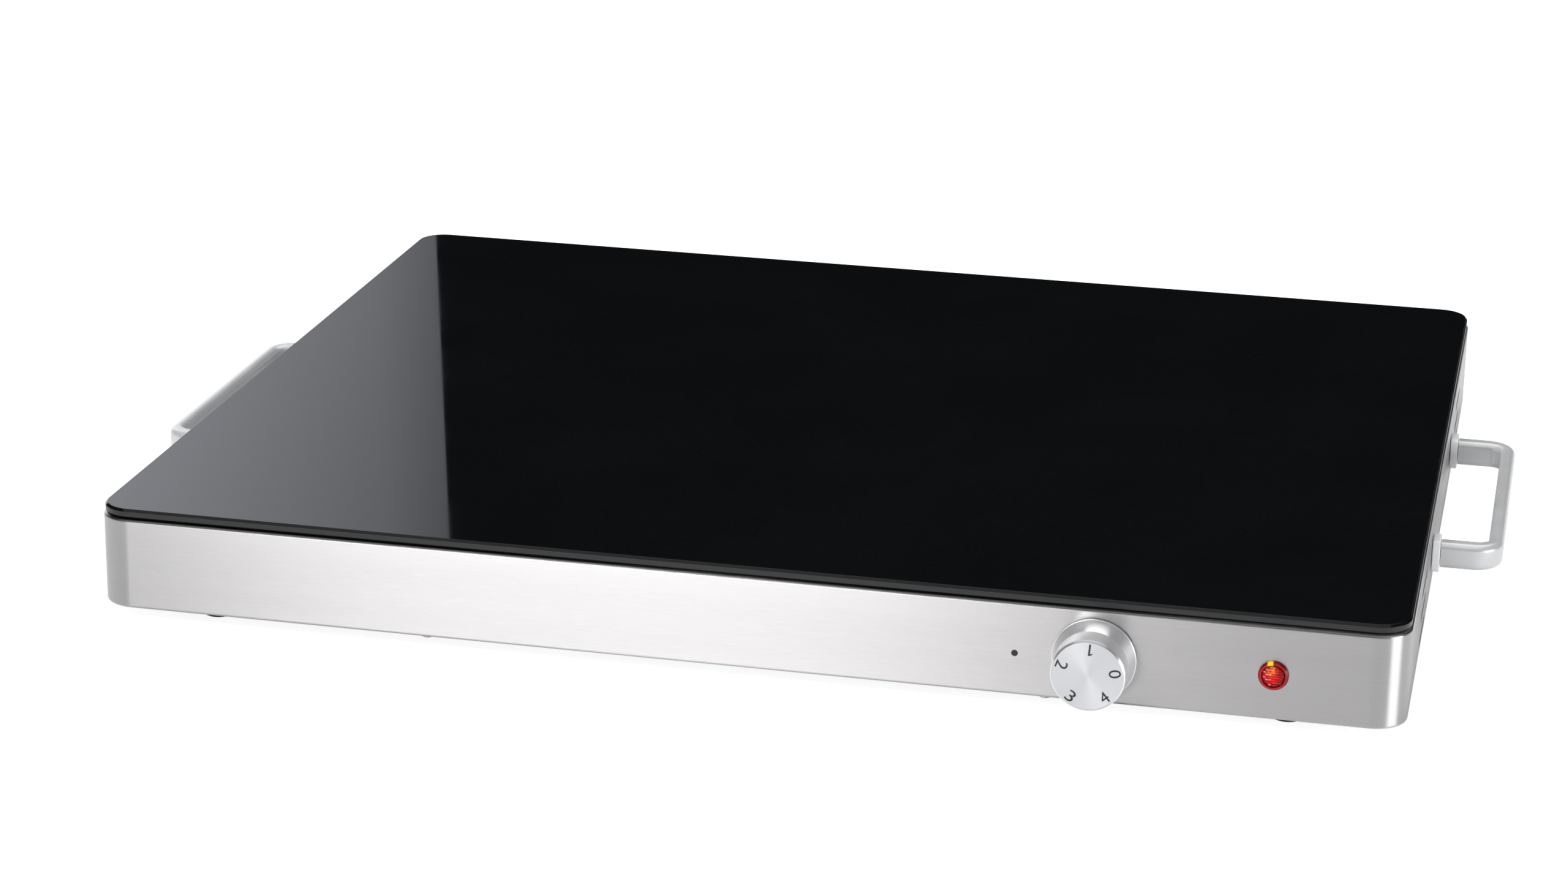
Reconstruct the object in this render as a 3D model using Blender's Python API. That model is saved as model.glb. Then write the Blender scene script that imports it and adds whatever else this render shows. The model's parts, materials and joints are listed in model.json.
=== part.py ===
"""Electric warming hot plate: glass top, brushed steel housing, rotary control, lamp, handles.

Metres, +Z up. The front faces -Y. The origin is on the table, under the centre of the whole
object, with the feet standing on Z = 0.
"""

import math

import bmesh
import bpy
from mathutils import Vector

# Gap that touching pieces keep between their faces, and a running fit's radial clearance.
GAP = 0.0003
RUNNING_FIT = 0.0001

# Glass top
GLASS_LENGTH = 0.600
GLASS_DEPTH = 0.4985
GLASS_THICKNESS = 0.0045
GLASS_CORNER = 0.015
GLASS_ARRIS = 0.0011

# Housing sheet
HOUSING_OVERHANG = 0.0008
HOUSING_HEIGHT = 0.0432
SHEET = 0.0008
TOP_BEND = 0.0020
BOTTOM_BEND = 0.0012
TOP_LIP = 0.0030
FLANGE_WIDTH = 0.0120

# Seal and heat spreader
SEAL_THICKNESS = 0.0009
SEAL_MARGIN = 0.0005
SPREADER_THICKNESS = 0.0015
SPREADER_CLEARANCE = 0.0010
SPREADER_CORNER = 0.0040

# Heating element
TUBE_DIAMETER = 0.0065
TUBE_RUNS = 8
TUBE_PITCH = 0.066
TUBE_END_MARGIN = 0.020
TUBE_STUB = 0.008
PIN_DIAMETER = 0.0032
PIN_LENGTH = 0.011
STRAP_COUNT = 3
STRAP_WIDTH = 0.012
STRAP_SHEET = 0.0008
STRAP_OVERRUN = 0.012

# Insulation, reflector tray and its rails
PAD_THICKNESS = 0.008
TRAY_SHEET = 0.0008
TRAY_INSET = 0.010
TRAY_CORNER = 0.006
CONTROL_BAY = 0.046
RAIL_SPREAD = 0.220
RAIL_WIDTH = 0.016
RAIL_FOOT = 0.008
RAIL_SETBACK = 0.022

# Base plate
BASE_THICKNESS = 0.0008
BASE_INSET = 0.0040
BASE_VENTS = 5
BASE_VENT_LENGTH = 0.040
BASE_VENT_WIDTH = 0.0030
BASE_VENT_PITCH = 0.012
BASE_VENT_X = 0.200

# Feet
FOOT_HEIGHT = 0.0046
FOOT_TOP_DIAMETER = 0.018
FOOT_SOLE_DIAMETER = 0.014
FOOT_SOLE_ROUND = 0.0010
FOOT_X = 0.2483
FOOT_SETBACK = 0.0204

# Screws: shank diameter, head diameter, head height, length under the head
CASE_SCREW = (0.0030, 0.0060, 0.0018, 0.0050)
FOOT_SCREW = (0.0036, 0.0070, 0.0016, 0.0060)
HANDLE_SCREW = (0.0040, 0.0080, 0.0025, 0.0140)
SCREW_CLEARANCE = 0.0003
CASE_SCREW_CLEARANCE = 0.0080
CASE_SCREW_INSET = 0.0075

# Handles
HANDLE_REACH = 0.0327
HANDLE_LEG_SPACING = 0.1564
HANDLE_LEG_WIDTH = 0.0098
HANDLE_BAR_THICKNESS = 0.0071
HANDLE_HEIGHT = 0.0126
HANDLE_OUTER_CORNER = 0.014
HANDLE_INNER_CORNER = 0.006
HANDLE_ROUND = 0.0032
HANDLE_RISE = 0.0007
COLLAR_THICKNESS = 0.0036
COLLAR_MARGIN = 0.0015
COLLAR_CORNER = 0.0018

# Vent slots and the small drain hole in the side walls
VENT_ROWS = 3
VENT_LENGTH = 0.037
VENT_HEIGHT = 0.0030
VENT_PITCH = 0.0116
VENT_OFFSET = 0.142
VENT_DROP = 0.0032
DRAIN_DIAMETER = 0.0020
DRAIN_OFFSET = 0.046
DRAIN_RISE = 0.0057

# Control knob, along its axis from the front wall
CONTROL_DROP = 0.0008
KNOB_X = 0.1647
KNOB_REACH = 0.0218
KNOB_STANDOFF = 0.0005
KNOB_FACE_DIAMETER = 0.0329
KNOB_SKIRT_DIAMETER = 0.0374
KNOB_SKIRT_DEPTH = 0.0105
KNOB_RIM = 0.0014
KNOB_BEVEL = 0.0009
KNOB_WALL = 0.0016
KNOB_FACE_THICKNESS = 0.0030
KNOB_HUB_WALL = 0.0020
KNOB_HUB_GAP = 0.0016
INSERT_WALL = 0.0014

# Energy regulator
SHAFT_DIAMETER = 0.0060
SHAFT_FLAT = 0.0007
SHAFT_TIP = 0.0020
BUSHING_DIAMETER = 0.0094
BUSHING_LENGTH = 0.0050
NUT_ACROSS = 0.0140
NUT_THICKNESS = 0.0024
REGULATOR_WIDTH = 0.028
REGULATOR_HEIGHT = 0.030
REGULATOR_DEPTH = 0.026
SHAFT_SINK = 0.010
BLADE_WIDTH = 0.0063
BLADE_THICKNESS = 0.0008
BLADE_LENGTH = 0.007
BLADE_SPREAD = 0.014

# Pilot lamp
LAMP_X = 0.2429
LENS_DIAMETER = 0.0133
LENS_STEM_DIAMETER = 0.0104
LENS_RIM = 0.0012
LENS_DOME = 0.0021
LENS_STEM = 0.0028
LAMP_BODY_LENGTH = 0.018
LAMP_CLIP_WIDTH = 0.0024
LAMP_CLIP_THICKNESS = 0.0009

# Thermal cut-out on the spreader
CUTOUT_X = 0.060
CUTOUT_DIAMETER = 0.016
CUTOUT_HEIGHT = 0.008
CLAMP_SHEET = 0.0008
CLAMP_WIDTH = 0.009

# Cord gland, terminal block and earth stud
GLAND_X = 0.200
GLAND_REACH = 0.014
GLAND_BORE = 0.0070
GLAND_THREAD = 0.0112
GLAND_FLANGE = 0.0160
GLAND_CAP = 0.0130
GLAND_FLANGE_DEPTH = 0.0030
GLAND_INNER = 0.0060
GLAND_NUT_ACROSS = 0.0140
GLAND_NUT_THICKNESS = 0.0030
BLOCK_WIDTH = 0.030
BLOCK_DEPTH = 0.016
BLOCK_HEIGHT = 0.012
BLOCK_SETBACK = 0.050
BLOCK_WAYS = 3
BLOCK_HOLE = 0.0032
BLOCK_HOLE_DEPTH = 0.004
EARTH_OFFSET = 0.030
EARTH_STUD_HEIGHT = 0.009
EARTH_STUD_DIAMETER = 0.0040
EARTH_NUT_DIAMETER = 0.0075
EARTH_NUT_HEIGHT = 0.0030

# Wires
WIRE_DIAMETER = 0.0024
LAMP_WIRE_DIAMETER = 0.0016
WIRE_STRAIGHT = 0.005
WIRE_STEPS = 13
BLOCK_LEAD = 0.050

# How finely curves are cut
CORNER_STEPS = 6
BEND_STEPS = 2
KNOB_SIDES = 40
ROUND_SIDES = 24
FOOT_SIDES = 16
SCREW_SIDES = 10
TUBE_STEPS = 2
SLOT_END_FLAT = 0.00003

# Angles in degrees: flatter edges are shaded smooth, and steeper ones take the edge round
SMOOTH_EDGE = 35
SHARP_EDGE = 50

# Plan: half sizes of the housing's outer face, and where its middle lies along Y
OUT_X = GLASS_LENGTH / 2 + HOUSING_OVERHANG
OUT_Y = GLASS_DEPTH / 2 + HOUSING_OVERHANG
OUT_CORNER = GLASS_CORNER + HOUSING_OVERHANG
MIDDLE_Y = (KNOB_REACH - GLAND_REACH) / 2
FRONT_Y = MIDDLE_Y - OUT_Y
REAR_Y = MIDDLE_Y + OUT_Y
CASE_SCREW_X = KNOB_X - REGULATOR_WIDTH / 2 - CASE_SCREW_CLEARANCE

# Levels, from the table up
BASE_UNDER = FOOT_HEIGHT + GAP
BASE_TOP = BASE_UNDER + BASE_THICKNESS
WALL_FOOT = BASE_TOP + GAP
RIM_TOP = WALL_FOOT + HOUSING_HEIGHT
GLASS_UNDER = RIM_TOP + GAP
GLASS_TOP = GLASS_UNDER + GLASS_THICKNESS
SEAL_TOP = GLASS_UNDER - GAP
SEAL_UNDER = SEAL_TOP - SEAL_THICKNESS
FLANGE_TOP = SEAL_UNDER - GAP
FLANGE_UNDER = FLANGE_TOP - SHEET
SPREADER_TOP = GLASS_UNDER - GAP
SPREADER_UNDER = SPREADER_TOP - SPREADER_THICKNESS
TUBE_AXIS = SPREADER_UNDER - GAP - TUBE_DIAMETER / 2
STRAP_TOP = TUBE_AXIS - TUBE_DIAMETER / 2 - GAP
STRAP_UNDER = STRAP_TOP - STRAP_SHEET
PAD_TOP = STRAP_UNDER - GAP
PAD_UNDER = PAD_TOP - PAD_THICKNESS
TRAY_FLOOR = PAD_UNDER - GAP
TRAY_UNDER = TRAY_FLOOR - TRAY_SHEET
TRAY_RIM = FLANGE_UNDER - GAP
WALL_MIDDLE = WALL_FOOT + HOUSING_HEIGHT / 2
CONTROL_Z = WALL_MIDDLE - CONTROL_DROP
WIRING_MIDDLE = (BASE_TOP + TRAY_UNDER) / 2

# Inner face of the front wall, the space behind it, and the reflector tray's plan
INNER_FRONT = FRONT_Y + SHEET + GAP
TRAY_FRONT = FRONT_Y + CONTROL_BAY
TRAY_REAR = REAR_Y - TRAY_INSET
TRAY_MIDDLE_Y = (TRAY_FRONT + TRAY_REAR) / 2
TRAY_HALF_X = OUT_X - TRAY_INSET
TRAY_HALF_Y = (TRAY_REAR - TRAY_FRONT) / 2
TUBE_HALF_SPAN = TUBE_PITCH * (TUBE_RUNS - 1) / 2
TUBE_END_Y = TRAY_FRONT - TUBE_STUB

MATERIALS = {
    "black_glass": ((0.008, 0.009, 0.010), 0.05, 0.0),
    "brushed_steel": ((0.62, 0.61, 0.60), 0.32, 1.0),
    "turned_aluminium": ((0.80, 0.80, 0.81), 0.25, 1.0),
    "handle_paint": ((0.56, 0.57, 0.58), 0.38, 0.2),
    "collar_plastic": ((0.78, 0.79, 0.80), 0.45, 0.0),
    "lamp_red": ((0.60, 0.01, 0.01), 0.12, 0.0),
    "rubber": ((0.02, 0.02, 0.02), 0.80, 0.0),
    "silicone": ((0.03, 0.03, 0.03), 0.60, 0.0),
    "sheet_aluminium": ((0.72, 0.73, 0.74), 0.40, 1.0),
    "galvanised": ((0.50, 0.51, 0.52), 0.50, 1.0),
    "element_steel": ((0.28, 0.26, 0.24), 0.45, 1.0),
    "screw_steel": ((0.55, 0.55, 0.56), 0.35, 1.0),
    "brass": ((0.70, 0.52, 0.24), 0.30, 1.0),
    "fibre": ((0.82, 0.80, 0.74), 0.95, 0.0),
    "phenolic": ((0.03, 0.03, 0.03), 0.50, 0.0),
    "nylon": ((0.75, 0.74, 0.70), 0.50, 0.0),
    "wire_brown": ((0.16, 0.06, 0.02), 0.50, 0.0),
    "wire_blue": ((0.03, 0.12, 0.45), 0.50, 0.0),
    "wire_green": ((0.05, 0.35, 0.06), 0.50, 0.0),
}


def clear_scene():
    """Start from an empty scene."""
    for old in list(bpy.data.objects):
        bpy.data.objects.remove(old, do_unlink=True)


def material(name):
    """The material of that name, made once."""
    found = bpy.data.materials.get(name)
    if found:
        return found
    colour, roughness, metallic = MATERIALS[name]
    made = bpy.data.materials.new(name)
    made.use_nodes = True
    shader = made.node_tree.nodes["Principled BSDF"]
    shader.inputs["Base Color"].default_value = (*colour, 1.0)
    shader.inputs["Roughness"].default_value = roughness
    shader.inputs["Metallic"].default_value = metallic
    made.diffuse_color = (*colour, 1.0)
    return made


def add_object(name, data, finish, location=(0, 0, 0), rotation=(0, 0, 0), parent=None):
    """Put a mesh or a curve in the scene with its finish and its place."""
    piece = bpy.data.objects.new(name, data)
    bpy.context.scene.collection.objects.link(piece)
    piece.location = location
    piece.rotation_euler = rotation
    piece.parent = parent
    if finish:
        data.materials.append(material(finish))
    return piece


def loft(name, rings, looped=False):
    """Mesh through rings of equally many points; looped joins the last ring to the first."""
    bm = bmesh.new()
    loops = [[bm.verts.new(point) for point in ring] for ring in rings]
    pairs = list(zip(loops, loops[1:]))
    if looped:
        pairs.append((loops[-1], loops[0]))
    else:
        bm.faces.new(reversed(loops[0]))
        bm.faces.new(loops[-1])
    for low, high in pairs:
        for here in range(len(low)):
            there = (here + 1) % len(low)
            bm.faces.new((low[here], low[there], high[there], high[here]))
    bmesh.ops.recalc_face_normals(bm, faces=bm.faces)
    mesh = bpy.data.meshes.new(name)
    bm.to_mesh(mesh)
    bm.free()
    return mesh


def smooth(mesh, degrees=SMOOTH_EDGE):
    """Shade the round faces of a mesh smooth, and keep its edges crisp."""
    mesh.shade_smooth()
    mesh.set_sharp_from_angle(angle=math.radians(degrees))


def raised(outline, z):
    """A flat outline lifted to a height."""
    return [(x, y, z) for x, y in outline]


def rounded_outline(half_x, half_y, corner, centre=(0.0, 0.0), steps=CORNER_STEPS):
    """Rounded rectangle, anticlockwise."""
    points = []
    for side_x, side_y, start in ((1, 1, 0), (-1, 1, 90), (-1, -1, 180), (1, -1, 270)):
        for step in range(steps + 1):
            angle = math.radians(start + 90 * step / steps)
            x = centre[0] + side_x * (half_x - corner) + corner * math.cos(angle)
            y = centre[1] + side_y * (half_y - corner) + corner * math.sin(angle)
            points.append((x, y))
    return points


def housing_outline(inset):
    """The housing's outline, moved in from its outer face."""
    return rounded_outline(OUT_X - inset, OUT_Y - inset, OUT_CORNER - inset, (0, MIDDLE_Y))


def circle_outline(radius, sides=ROUND_SIDES):
    """Points round a circle."""
    turns = [2 * math.pi * side / sides for side in range(sides)]
    return [(radius * math.cos(turn), radius * math.sin(turn)) for turn in turns]


def hexagon_outline(across, per_side):
    """Hexagon of that width across its flats, with extra points along each side."""
    corners = [Vector(point) for point in circle_outline(across / math.sqrt(3), 6)]
    points = []
    for side in range(6):
        start, end = corners[side], corners[(side + 1) % 6]
        points += [tuple(start.lerp(end, step / per_side)) for step in range(per_side)]
    return points


def turned(name, profile, sides=ROUND_SIDES, looped=False):
    """Turn a profile of (radius, height) about Z."""
    rings = [raised(circle_outline(radius, sides), z) for radius, z in profile]
    mesh = loft(name, rings, looped)
    smooth(mesh)
    return mesh


def arc(centre, radius, start, end, steps):
    """Points along an arc, angles in degrees."""
    angles = [math.radians(start + (end - start) * step / steps) for step in range(steps + 1)]
    return [(centre[0] + radius * math.cos(a), centre[1] + radius * math.sin(a)) for a in angles]


def box_mesh(name, size):
    """Box of that size about its own origin."""
    bm = bmesh.new()
    bmesh.ops.create_cube(bm, size=1.0)
    bmesh.ops.scale(bm, vec=size, verts=bm.verts)
    mesh = bpy.data.meshes.new(name)
    bm.to_mesh(mesh)
    bm.free()
    return mesh


def combine(target, tool, operation="DIFFERENCE"):
    """Cut a hidden tool from a piece, or join it on."""
    tool.hide_render = True
    tool.display_type = "WIRE"
    step = target.modifiers.new(tool.name, "BOOLEAN")
    step.operation = operation
    step.solver = "EXACT"
    step.object = tool


def drill(target, name, diameter, length, location, rotation=(0, 0, 0), sides=SCREW_SIDES):
    """Round hole of that length, centred where it is put."""
    outline = circle_outline(diameter / 2, sides)
    mesh = loft(name, [raised(outline, -length / 2), raised(outline, length / 2)])
    combine(target, add_object(name, mesh, None, location, rotation))


def slot(target, name, length, width, depth, location, rotation=(0, 0, 0)):
    """Slot with round ends, long way along its own X, cut along its own Z."""
    outline = rounded_outline(length / 2, width / 2, width / 2 - SLOT_END_FLAT, steps=BEND_STEPS)
    mesh = loft(name, [raised(outline, -depth / 2), raised(outline, depth / 2)])
    combine(target, add_object(name, mesh, None, location, rotation))


def screw(name, kind, location, rotation=(0, 0, 0)):
    """Pan-head screw: the head's underside is at its origin and the shank runs up its Z."""
    shank, head, head_height, length = kind
    crown = head_height / 3
    profile = [
        (head / 2 - crown, -head_height),
        (head / 2, crown - head_height),
        (head / 2, 0),
        (shank / 2, 0),
        (shank / 2, length - shank / 4),
        (shank / 4, length),
    ]
    add_object(name, turned(name, profile, SCREW_SIDES), "screw_steel", location, rotation)


def tube(name, points, diameter, finish):
    """Round bar or wire along a line of points."""
    curve = bpy.data.curves.new(name, "CURVE")
    curve.dimensions = "3D"
    curve.bevel_depth = diameter / 2
    curve.bevel_resolution = TUBE_STEPS
    curve.use_fill_caps = True
    spline = curve.splines.new("POLY")
    spline.points.add(len(points) - 1)
    for place, point in zip(spline.points, points):
        place.co = (*point, 1.0)
    spline.use_smooth = True
    return add_object(name, curve, finish)


def smooth_route(anchors, steps=WIRE_STEPS):
    """Stepped points on a smooth curve through the anchors, with no overshoot at short spans."""
    points = [Vector(anchor) for anchor in anchors]
    points = [2 * points[0] - points[1], *points, 2 * points[-1] - points[-2]]
    knots = [0.0]
    for start, end in zip(points, points[1:]):
        knots.append(knots[-1] + math.sqrt((end - start).length))
    route = []
    for step in range(steps + 1):
        at = knots[1] + (knots[-2] - knots[1]) * step / steps
        span = max(index for index in range(1, len(points) - 2) if knots[index] <= at)
        level = points[span - 1:span + 3]
        times = knots[span - 1:span + 3]
        level = [blend(level, times, at, side, side, side + 1) for side in range(3)]
        level = [blend(level, times, at, side, side, side + 2) for side in range(2)]
        route.append(blend(level, times, at, 0, 1, 2))
    return route


def blend(level, times, at, side, start, end):
    """Point between two neighbours of a level, by where the time lies between two knots."""
    return level[side].lerp(level[side + 1], (at - times[start]) / (times[end] - times[start]))


def housing_section():
    """The folded sheet in section: (distance in from the outer face, height)."""
    step_end = TOP_LIP + RIM_TOP - FLANGE_TOP
    mitre = SHEET * math.tan(math.pi / 8)
    top = (TOP_BEND, RIM_TOP - TOP_BEND)
    bottom = (BOTTOM_BEND, WALL_FOOT + BOTTOM_BEND)
    section = [(FLANGE_WIDTH, WALL_FOOT)]
    section += arc(bottom, BOTTOM_BEND, 270, 180, BEND_STEPS)
    section += arc(top, TOP_BEND, 180, 90, BEND_STEPS)
    section += [(TOP_LIP, RIM_TOP), (step_end, FLANGE_TOP), (FLANGE_WIDTH, FLANGE_TOP)]
    section += [(FLANGE_WIDTH, FLANGE_UNDER), (step_end - mitre, FLANGE_UNDER)]
    section += [(TOP_LIP - mitre, RIM_TOP - SHEET)]
    section += arc(top, TOP_BEND - SHEET, 90, 180, BEND_STEPS)
    section += arc(bottom, BOTTOM_BEND - SHEET, 180, 270, BEND_STEPS)
    section += [(FLANGE_WIDTH, WALL_FOOT + SHEET)]
    return section


def build_glass():
    """Glass plate with a ground arris round both faces."""
    steps = ((GLASS_ARRIS, GLASS_UNDER), (0, GLASS_UNDER + GLASS_ARRIS),
             (0, GLASS_TOP - GLASS_ARRIS), (GLASS_ARRIS, GLASS_TOP))
    rings = [raised(housing_outline(HOUSING_OVERHANG + inset), z) for inset, z in steps]
    mesh = loft("glass_top", rings)
    smooth(mesh)
    add_object("glass_top", mesh, "black_glass")


def build_seal():
    """Silicone bead between the glass and the housing's flange."""
    outer = TOP_LIP + RIM_TOP - FLANGE_TOP + SEAL_MARGIN
    inner = FLANGE_WIDTH - SEAL_MARGIN
    corners = ((outer, SEAL_UNDER), (outer, SEAL_TOP), (inner, SEAL_TOP), (inner, SEAL_UNDER))
    rings = [raised(housing_outline(inset), z) for inset, z in corners]
    add_object("glass_seal", loft("glass_seal", rings, looped=True), "silicone")


def build_spreader():
    """Aluminium plate that carries the heat of the element to the glass."""
    inset = FLANGE_WIDTH + SPREADER_CLEARANCE
    outline = rounded_outline(OUT_X - inset, OUT_Y - inset, SPREADER_CORNER, (0, MIDDLE_Y),
                              BEND_STEPS)
    mesh = loft("heat_spreader", [raised(outline, SPREADER_UNDER), raised(outline, SPREADER_TOP)])
    add_object("heat_spreader", mesh, "sheet_aluminium")


def element_route():
    """Centre line of the element: runs along Y, joined by half turns."""
    radius = TUBE_PITCH / 2
    front = TRAY_FRONT + TUBE_END_MARGIN + radius
    rear = TRAY_REAR - TUBE_END_MARGIN - radius
    route = [(-TUBE_HALF_SPAN, TUBE_END_Y)]
    for turn in range(TUBE_RUNS - 1):
        x = TUBE_PITCH * (turn + 0.5) - TUBE_HALF_SPAN
        if turn % 2 == 0:
            route += arc((x, rear), radius, 180, 0, CORNER_STEPS)
        else:
            route += arc((x, front), radius, 180, 360, CORNER_STEPS)
    route.append((TUBE_HALF_SPAN, TUBE_END_Y))
    return raised(route, TUBE_AXIS)


def build_element():
    """Tubular element, the pins in its two ends and the straps that hold it up."""
    tube("heater_tube", element_route(), TUBE_DIAMETER, "element_steel")
    for side, label in ((-1, "left"), (1, "right")):
        start = (side * TUBE_HALF_SPAN, TUBE_END_Y - GAP, TUBE_AXIS)
        end = (side * TUBE_HALF_SPAN, TUBE_END_Y - GAP - PIN_LENGTH, TUBE_AXIS)
        tube("heater_pin_" + label, [start, end], PIN_DIAMETER, "brass")
    half = TUBE_HALF_SPAN + TUBE_DIAMETER / 2 + STRAP_OVERRUN
    leg_top = SPREADER_UNDER - GAP
    outline = [(-half, leg_top), (-half, STRAP_UNDER), (half, STRAP_UNDER), (half, leg_top)]
    outline += [(half - STRAP_SHEET, leg_top), (half - STRAP_SHEET, STRAP_TOP)]
    outline += [(STRAP_SHEET - half, STRAP_TOP), (STRAP_SHEET - half, leg_top)]
    mesh = cross_section("heater_strap", outline, STRAP_WIDTH)
    for number in range(STRAP_COUNT):
        share = (number + 1) / (STRAP_COUNT + 1)
        y = TRAY_FRONT + share * (TRAY_REAR - TRAY_FRONT)
        add_object("heater_strap_%d" % (number + 1), mesh, None, (0, y, 0))
    mesh.materials.append(material("galvanised"))


def cross_section(name, outline, length):
    """Section drawn in XZ, drawn out along Y about its middle."""
    rings = [[(x, y, z) for x, z in outline] for y in (-length / 2, length / 2)]
    return loft(name, rings)


def build_pad():
    """Insulation that lies in the tray."""
    inset = TRAY_SHEET + GAP
    outline = rounded_outline(TRAY_HALF_X - inset, TRAY_HALF_Y - inset, TRAY_CORNER - inset,
                              (0, TRAY_MIDDLE_Y), BEND_STEPS)
    mesh = loft("insulation_pad", [raised(outline, PAD_UNDER), raised(outline, PAD_TOP)])
    add_object("insulation_pad", mesh, "fibre")


def build_tray():
    """Reflector tray, notched where the element's ends come forward."""
    steps = ((0, TRAY_UNDER), (0, TRAY_RIM), (TRAY_SHEET, TRAY_RIM), (TRAY_SHEET, TRAY_FLOOR))
    rings = []
    for inset, z in steps:
        outline = rounded_outline(TRAY_HALF_X - inset, TRAY_HALF_Y - inset, TRAY_CORNER - inset,
                                  (0, TRAY_MIDDLE_Y), BEND_STEPS)
        rings.append(raised(outline, z))
    tray = add_object("reflector_tray", loft("reflector_tray", rings), "sheet_aluminium")
    notch = TUBE_DIAMETER + 4 * GAP
    for side, label in ((-1, "left"), (1, "right")):
        where = (side * TUBE_HALF_SPAN, TRAY_FRONT, TUBE_AXIS)
        drill(tray, "notch_" + label, notch, 4 * TRAY_SHEET, where, (math.pi / 2, 0, 0))


def build_rails():
    """Two folded rails that carry the tray on the base plate."""
    low, high, sheet = BASE_TOP + GAP, TRAY_UNDER - GAP, TRAY_SHEET
    web, foot = RAIL_WIDTH / 2, RAIL_WIDTH / 2 + RAIL_FOOT
    right = [(foot, low), (foot, low + sheet), (web, low + sheet), (web, high)]
    right_inner = [(web - sheet, high - sheet), (web - sheet, low)]
    outline = right + [(-x, z) for x, z in reversed(right)]
    outline += [(-x, z) for x, z in reversed(right_inner)] + right_inner
    start, end = TRAY_FRONT + RAIL_SETBACK, TRAY_REAR - RAIL_SETBACK
    for side, label in ((-1, "left"), (1, "right")):
        name = "tray_rail_" + label
        mesh = cross_section(name, outline, end - start)
        add_object(name, mesh, "galvanised", (side * RAIL_SPREAD / 2, (start + end) / 2, 0))


def build_housing():
    """Folded and welded steel surround, with every hole that goes through it."""
    rings = [raised(housing_outline(inset), z) for inset, z in housing_section()]
    mesh = loft("housing", rings, looped=True)
    smooth(mesh)
    housing = add_object("housing", mesh, "brushed_steel")
    through = 4 * SHEET
    across = (math.pi / 2, 0, 0)
    wall_y = FRONT_Y + SHEET / 2
    drill(housing, "bushing_hole", BUSHING_DIAMETER + 2 * GAP, through,
          (KNOB_X, wall_y, CONTROL_Z), across, ROUND_SIDES)
    drill(housing, "lamp_hole", LENS_STEM_DIAMETER + 2 * GAP, through,
          (LAMP_X, wall_y, CONTROL_Z), across, ROUND_SIDES)
    drill(housing, "gland_hole", GLAND_THREAD + 2 * GAP, through,
          (GLAND_X, REAR_Y - SHEET / 2, WIRING_MIDDLE), across, ROUND_SIDES)
    for side, label in ((-1, "left"), (1, "right")):
        cut_side_wall(housing, side, label, through)
    for number, (x, y) in enumerate(case_screw_places()):
        drill(housing, "case_hole_%d" % number, CASE_SCREW[0] + 2 * SCREW_CLEARANCE, through,
              (x, y, WALL_FOOT + SHEET / 2))


def cut_side_wall(housing, side, label, through):
    """Vent slots, handle screw holes and the drain hole of one side wall."""
    x = side * (OUT_X - SHEET / 2)
    sideways = (0, math.pi / 2, 0)
    edgeways = (math.pi / 2, 0, math.pi / 2)
    for end in (-1, 1):
        for row in range(VENT_ROWS):
            z = WALL_MIDDLE - VENT_DROP + VENT_PITCH * (row - (VENT_ROWS - 1) / 2)
            name = "vent_%s_%s_%d" % (label, "rear" if end > 0 else "front", row)
            where = (x, MIDDLE_Y + end * VENT_OFFSET, z)
            slot(housing, name, VENT_LENGTH, VENT_HEIGHT, through, where, edgeways)
        leg = (x, MIDDLE_Y + end * HANDLE_LEG_SPACING / 2, WALL_MIDDLE + HANDLE_RISE)
        drill(housing, "leg_hole_%s_%d" % (label, end), HANDLE_SCREW[0] + 2 * SCREW_CLEARANCE,
              through, leg, sideways)
    where = (x, MIDDLE_Y + DRAIN_OFFSET, WALL_MIDDLE + DRAIN_RISE)
    drill(housing, "drain_" + label, DRAIN_DIAMETER, through, where, sideways)


def case_screw_places():
    """Where the base plate is screwed to the housing's lower flange."""
    front, rear = FRONT_Y + CASE_SCREW_INSET, REAR_Y - CASE_SCREW_INSET
    side = OUT_X - CASE_SCREW_INSET
    places = [(x, y) for y in (front, rear) for x in (-CASE_SCREW_X, CASE_SCREW_X)]
    return places + [(-side, MIDDLE_Y), (side, MIDDLE_Y)]


def foot_places():
    """Centres of the four feet."""
    front, rear = FRONT_Y + FOOT_SETBACK, REAR_Y - FOOT_SETBACK
    return [(x, y) for y in (front, rear) for x in (-FOOT_X, FOOT_X)]


def build_base():
    """Base plate with its vents, and the screws that hold it to the housing."""
    outline = housing_outline(BASE_INSET)
    mesh = loft("base_plate", [raised(outline, BASE_UNDER), raised(outline, BASE_TOP)])
    base = add_object("base_plate", mesh, "galvanised")
    through = 4 * BASE_THICKNESS
    middle = (BASE_UNDER + BASE_TOP) / 2
    for side in (-1, 1):
        for number in range(BASE_VENTS):
            y = MIDDLE_Y + BASE_VENT_PITCH * (number - (BASE_VENTS - 1) / 2)
            name = "base_vent_%d_%d" % (side, number)
            slot(base, name, BASE_VENT_LENGTH, BASE_VENT_WIDTH, through,
                 (side * BASE_VENT_X, y, middle))
    for number, (x, y) in enumerate(case_screw_places(), start=1):
        drill(base, "base_hole_%d" % number, CASE_SCREW[0] + 2 * SCREW_CLEARANCE, through,
              (x, y, middle))
        screw("base_screw_%d" % number, CASE_SCREW, (x, y, BASE_UNDER - GAP))
    for number, (x, y) in enumerate(foot_places(), start=1):
        drill(base, "foot_hole_%d" % number, FOOT_SCREW[0] + 2 * SCREW_CLEARANCE, through,
              (x, y, middle))


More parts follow.
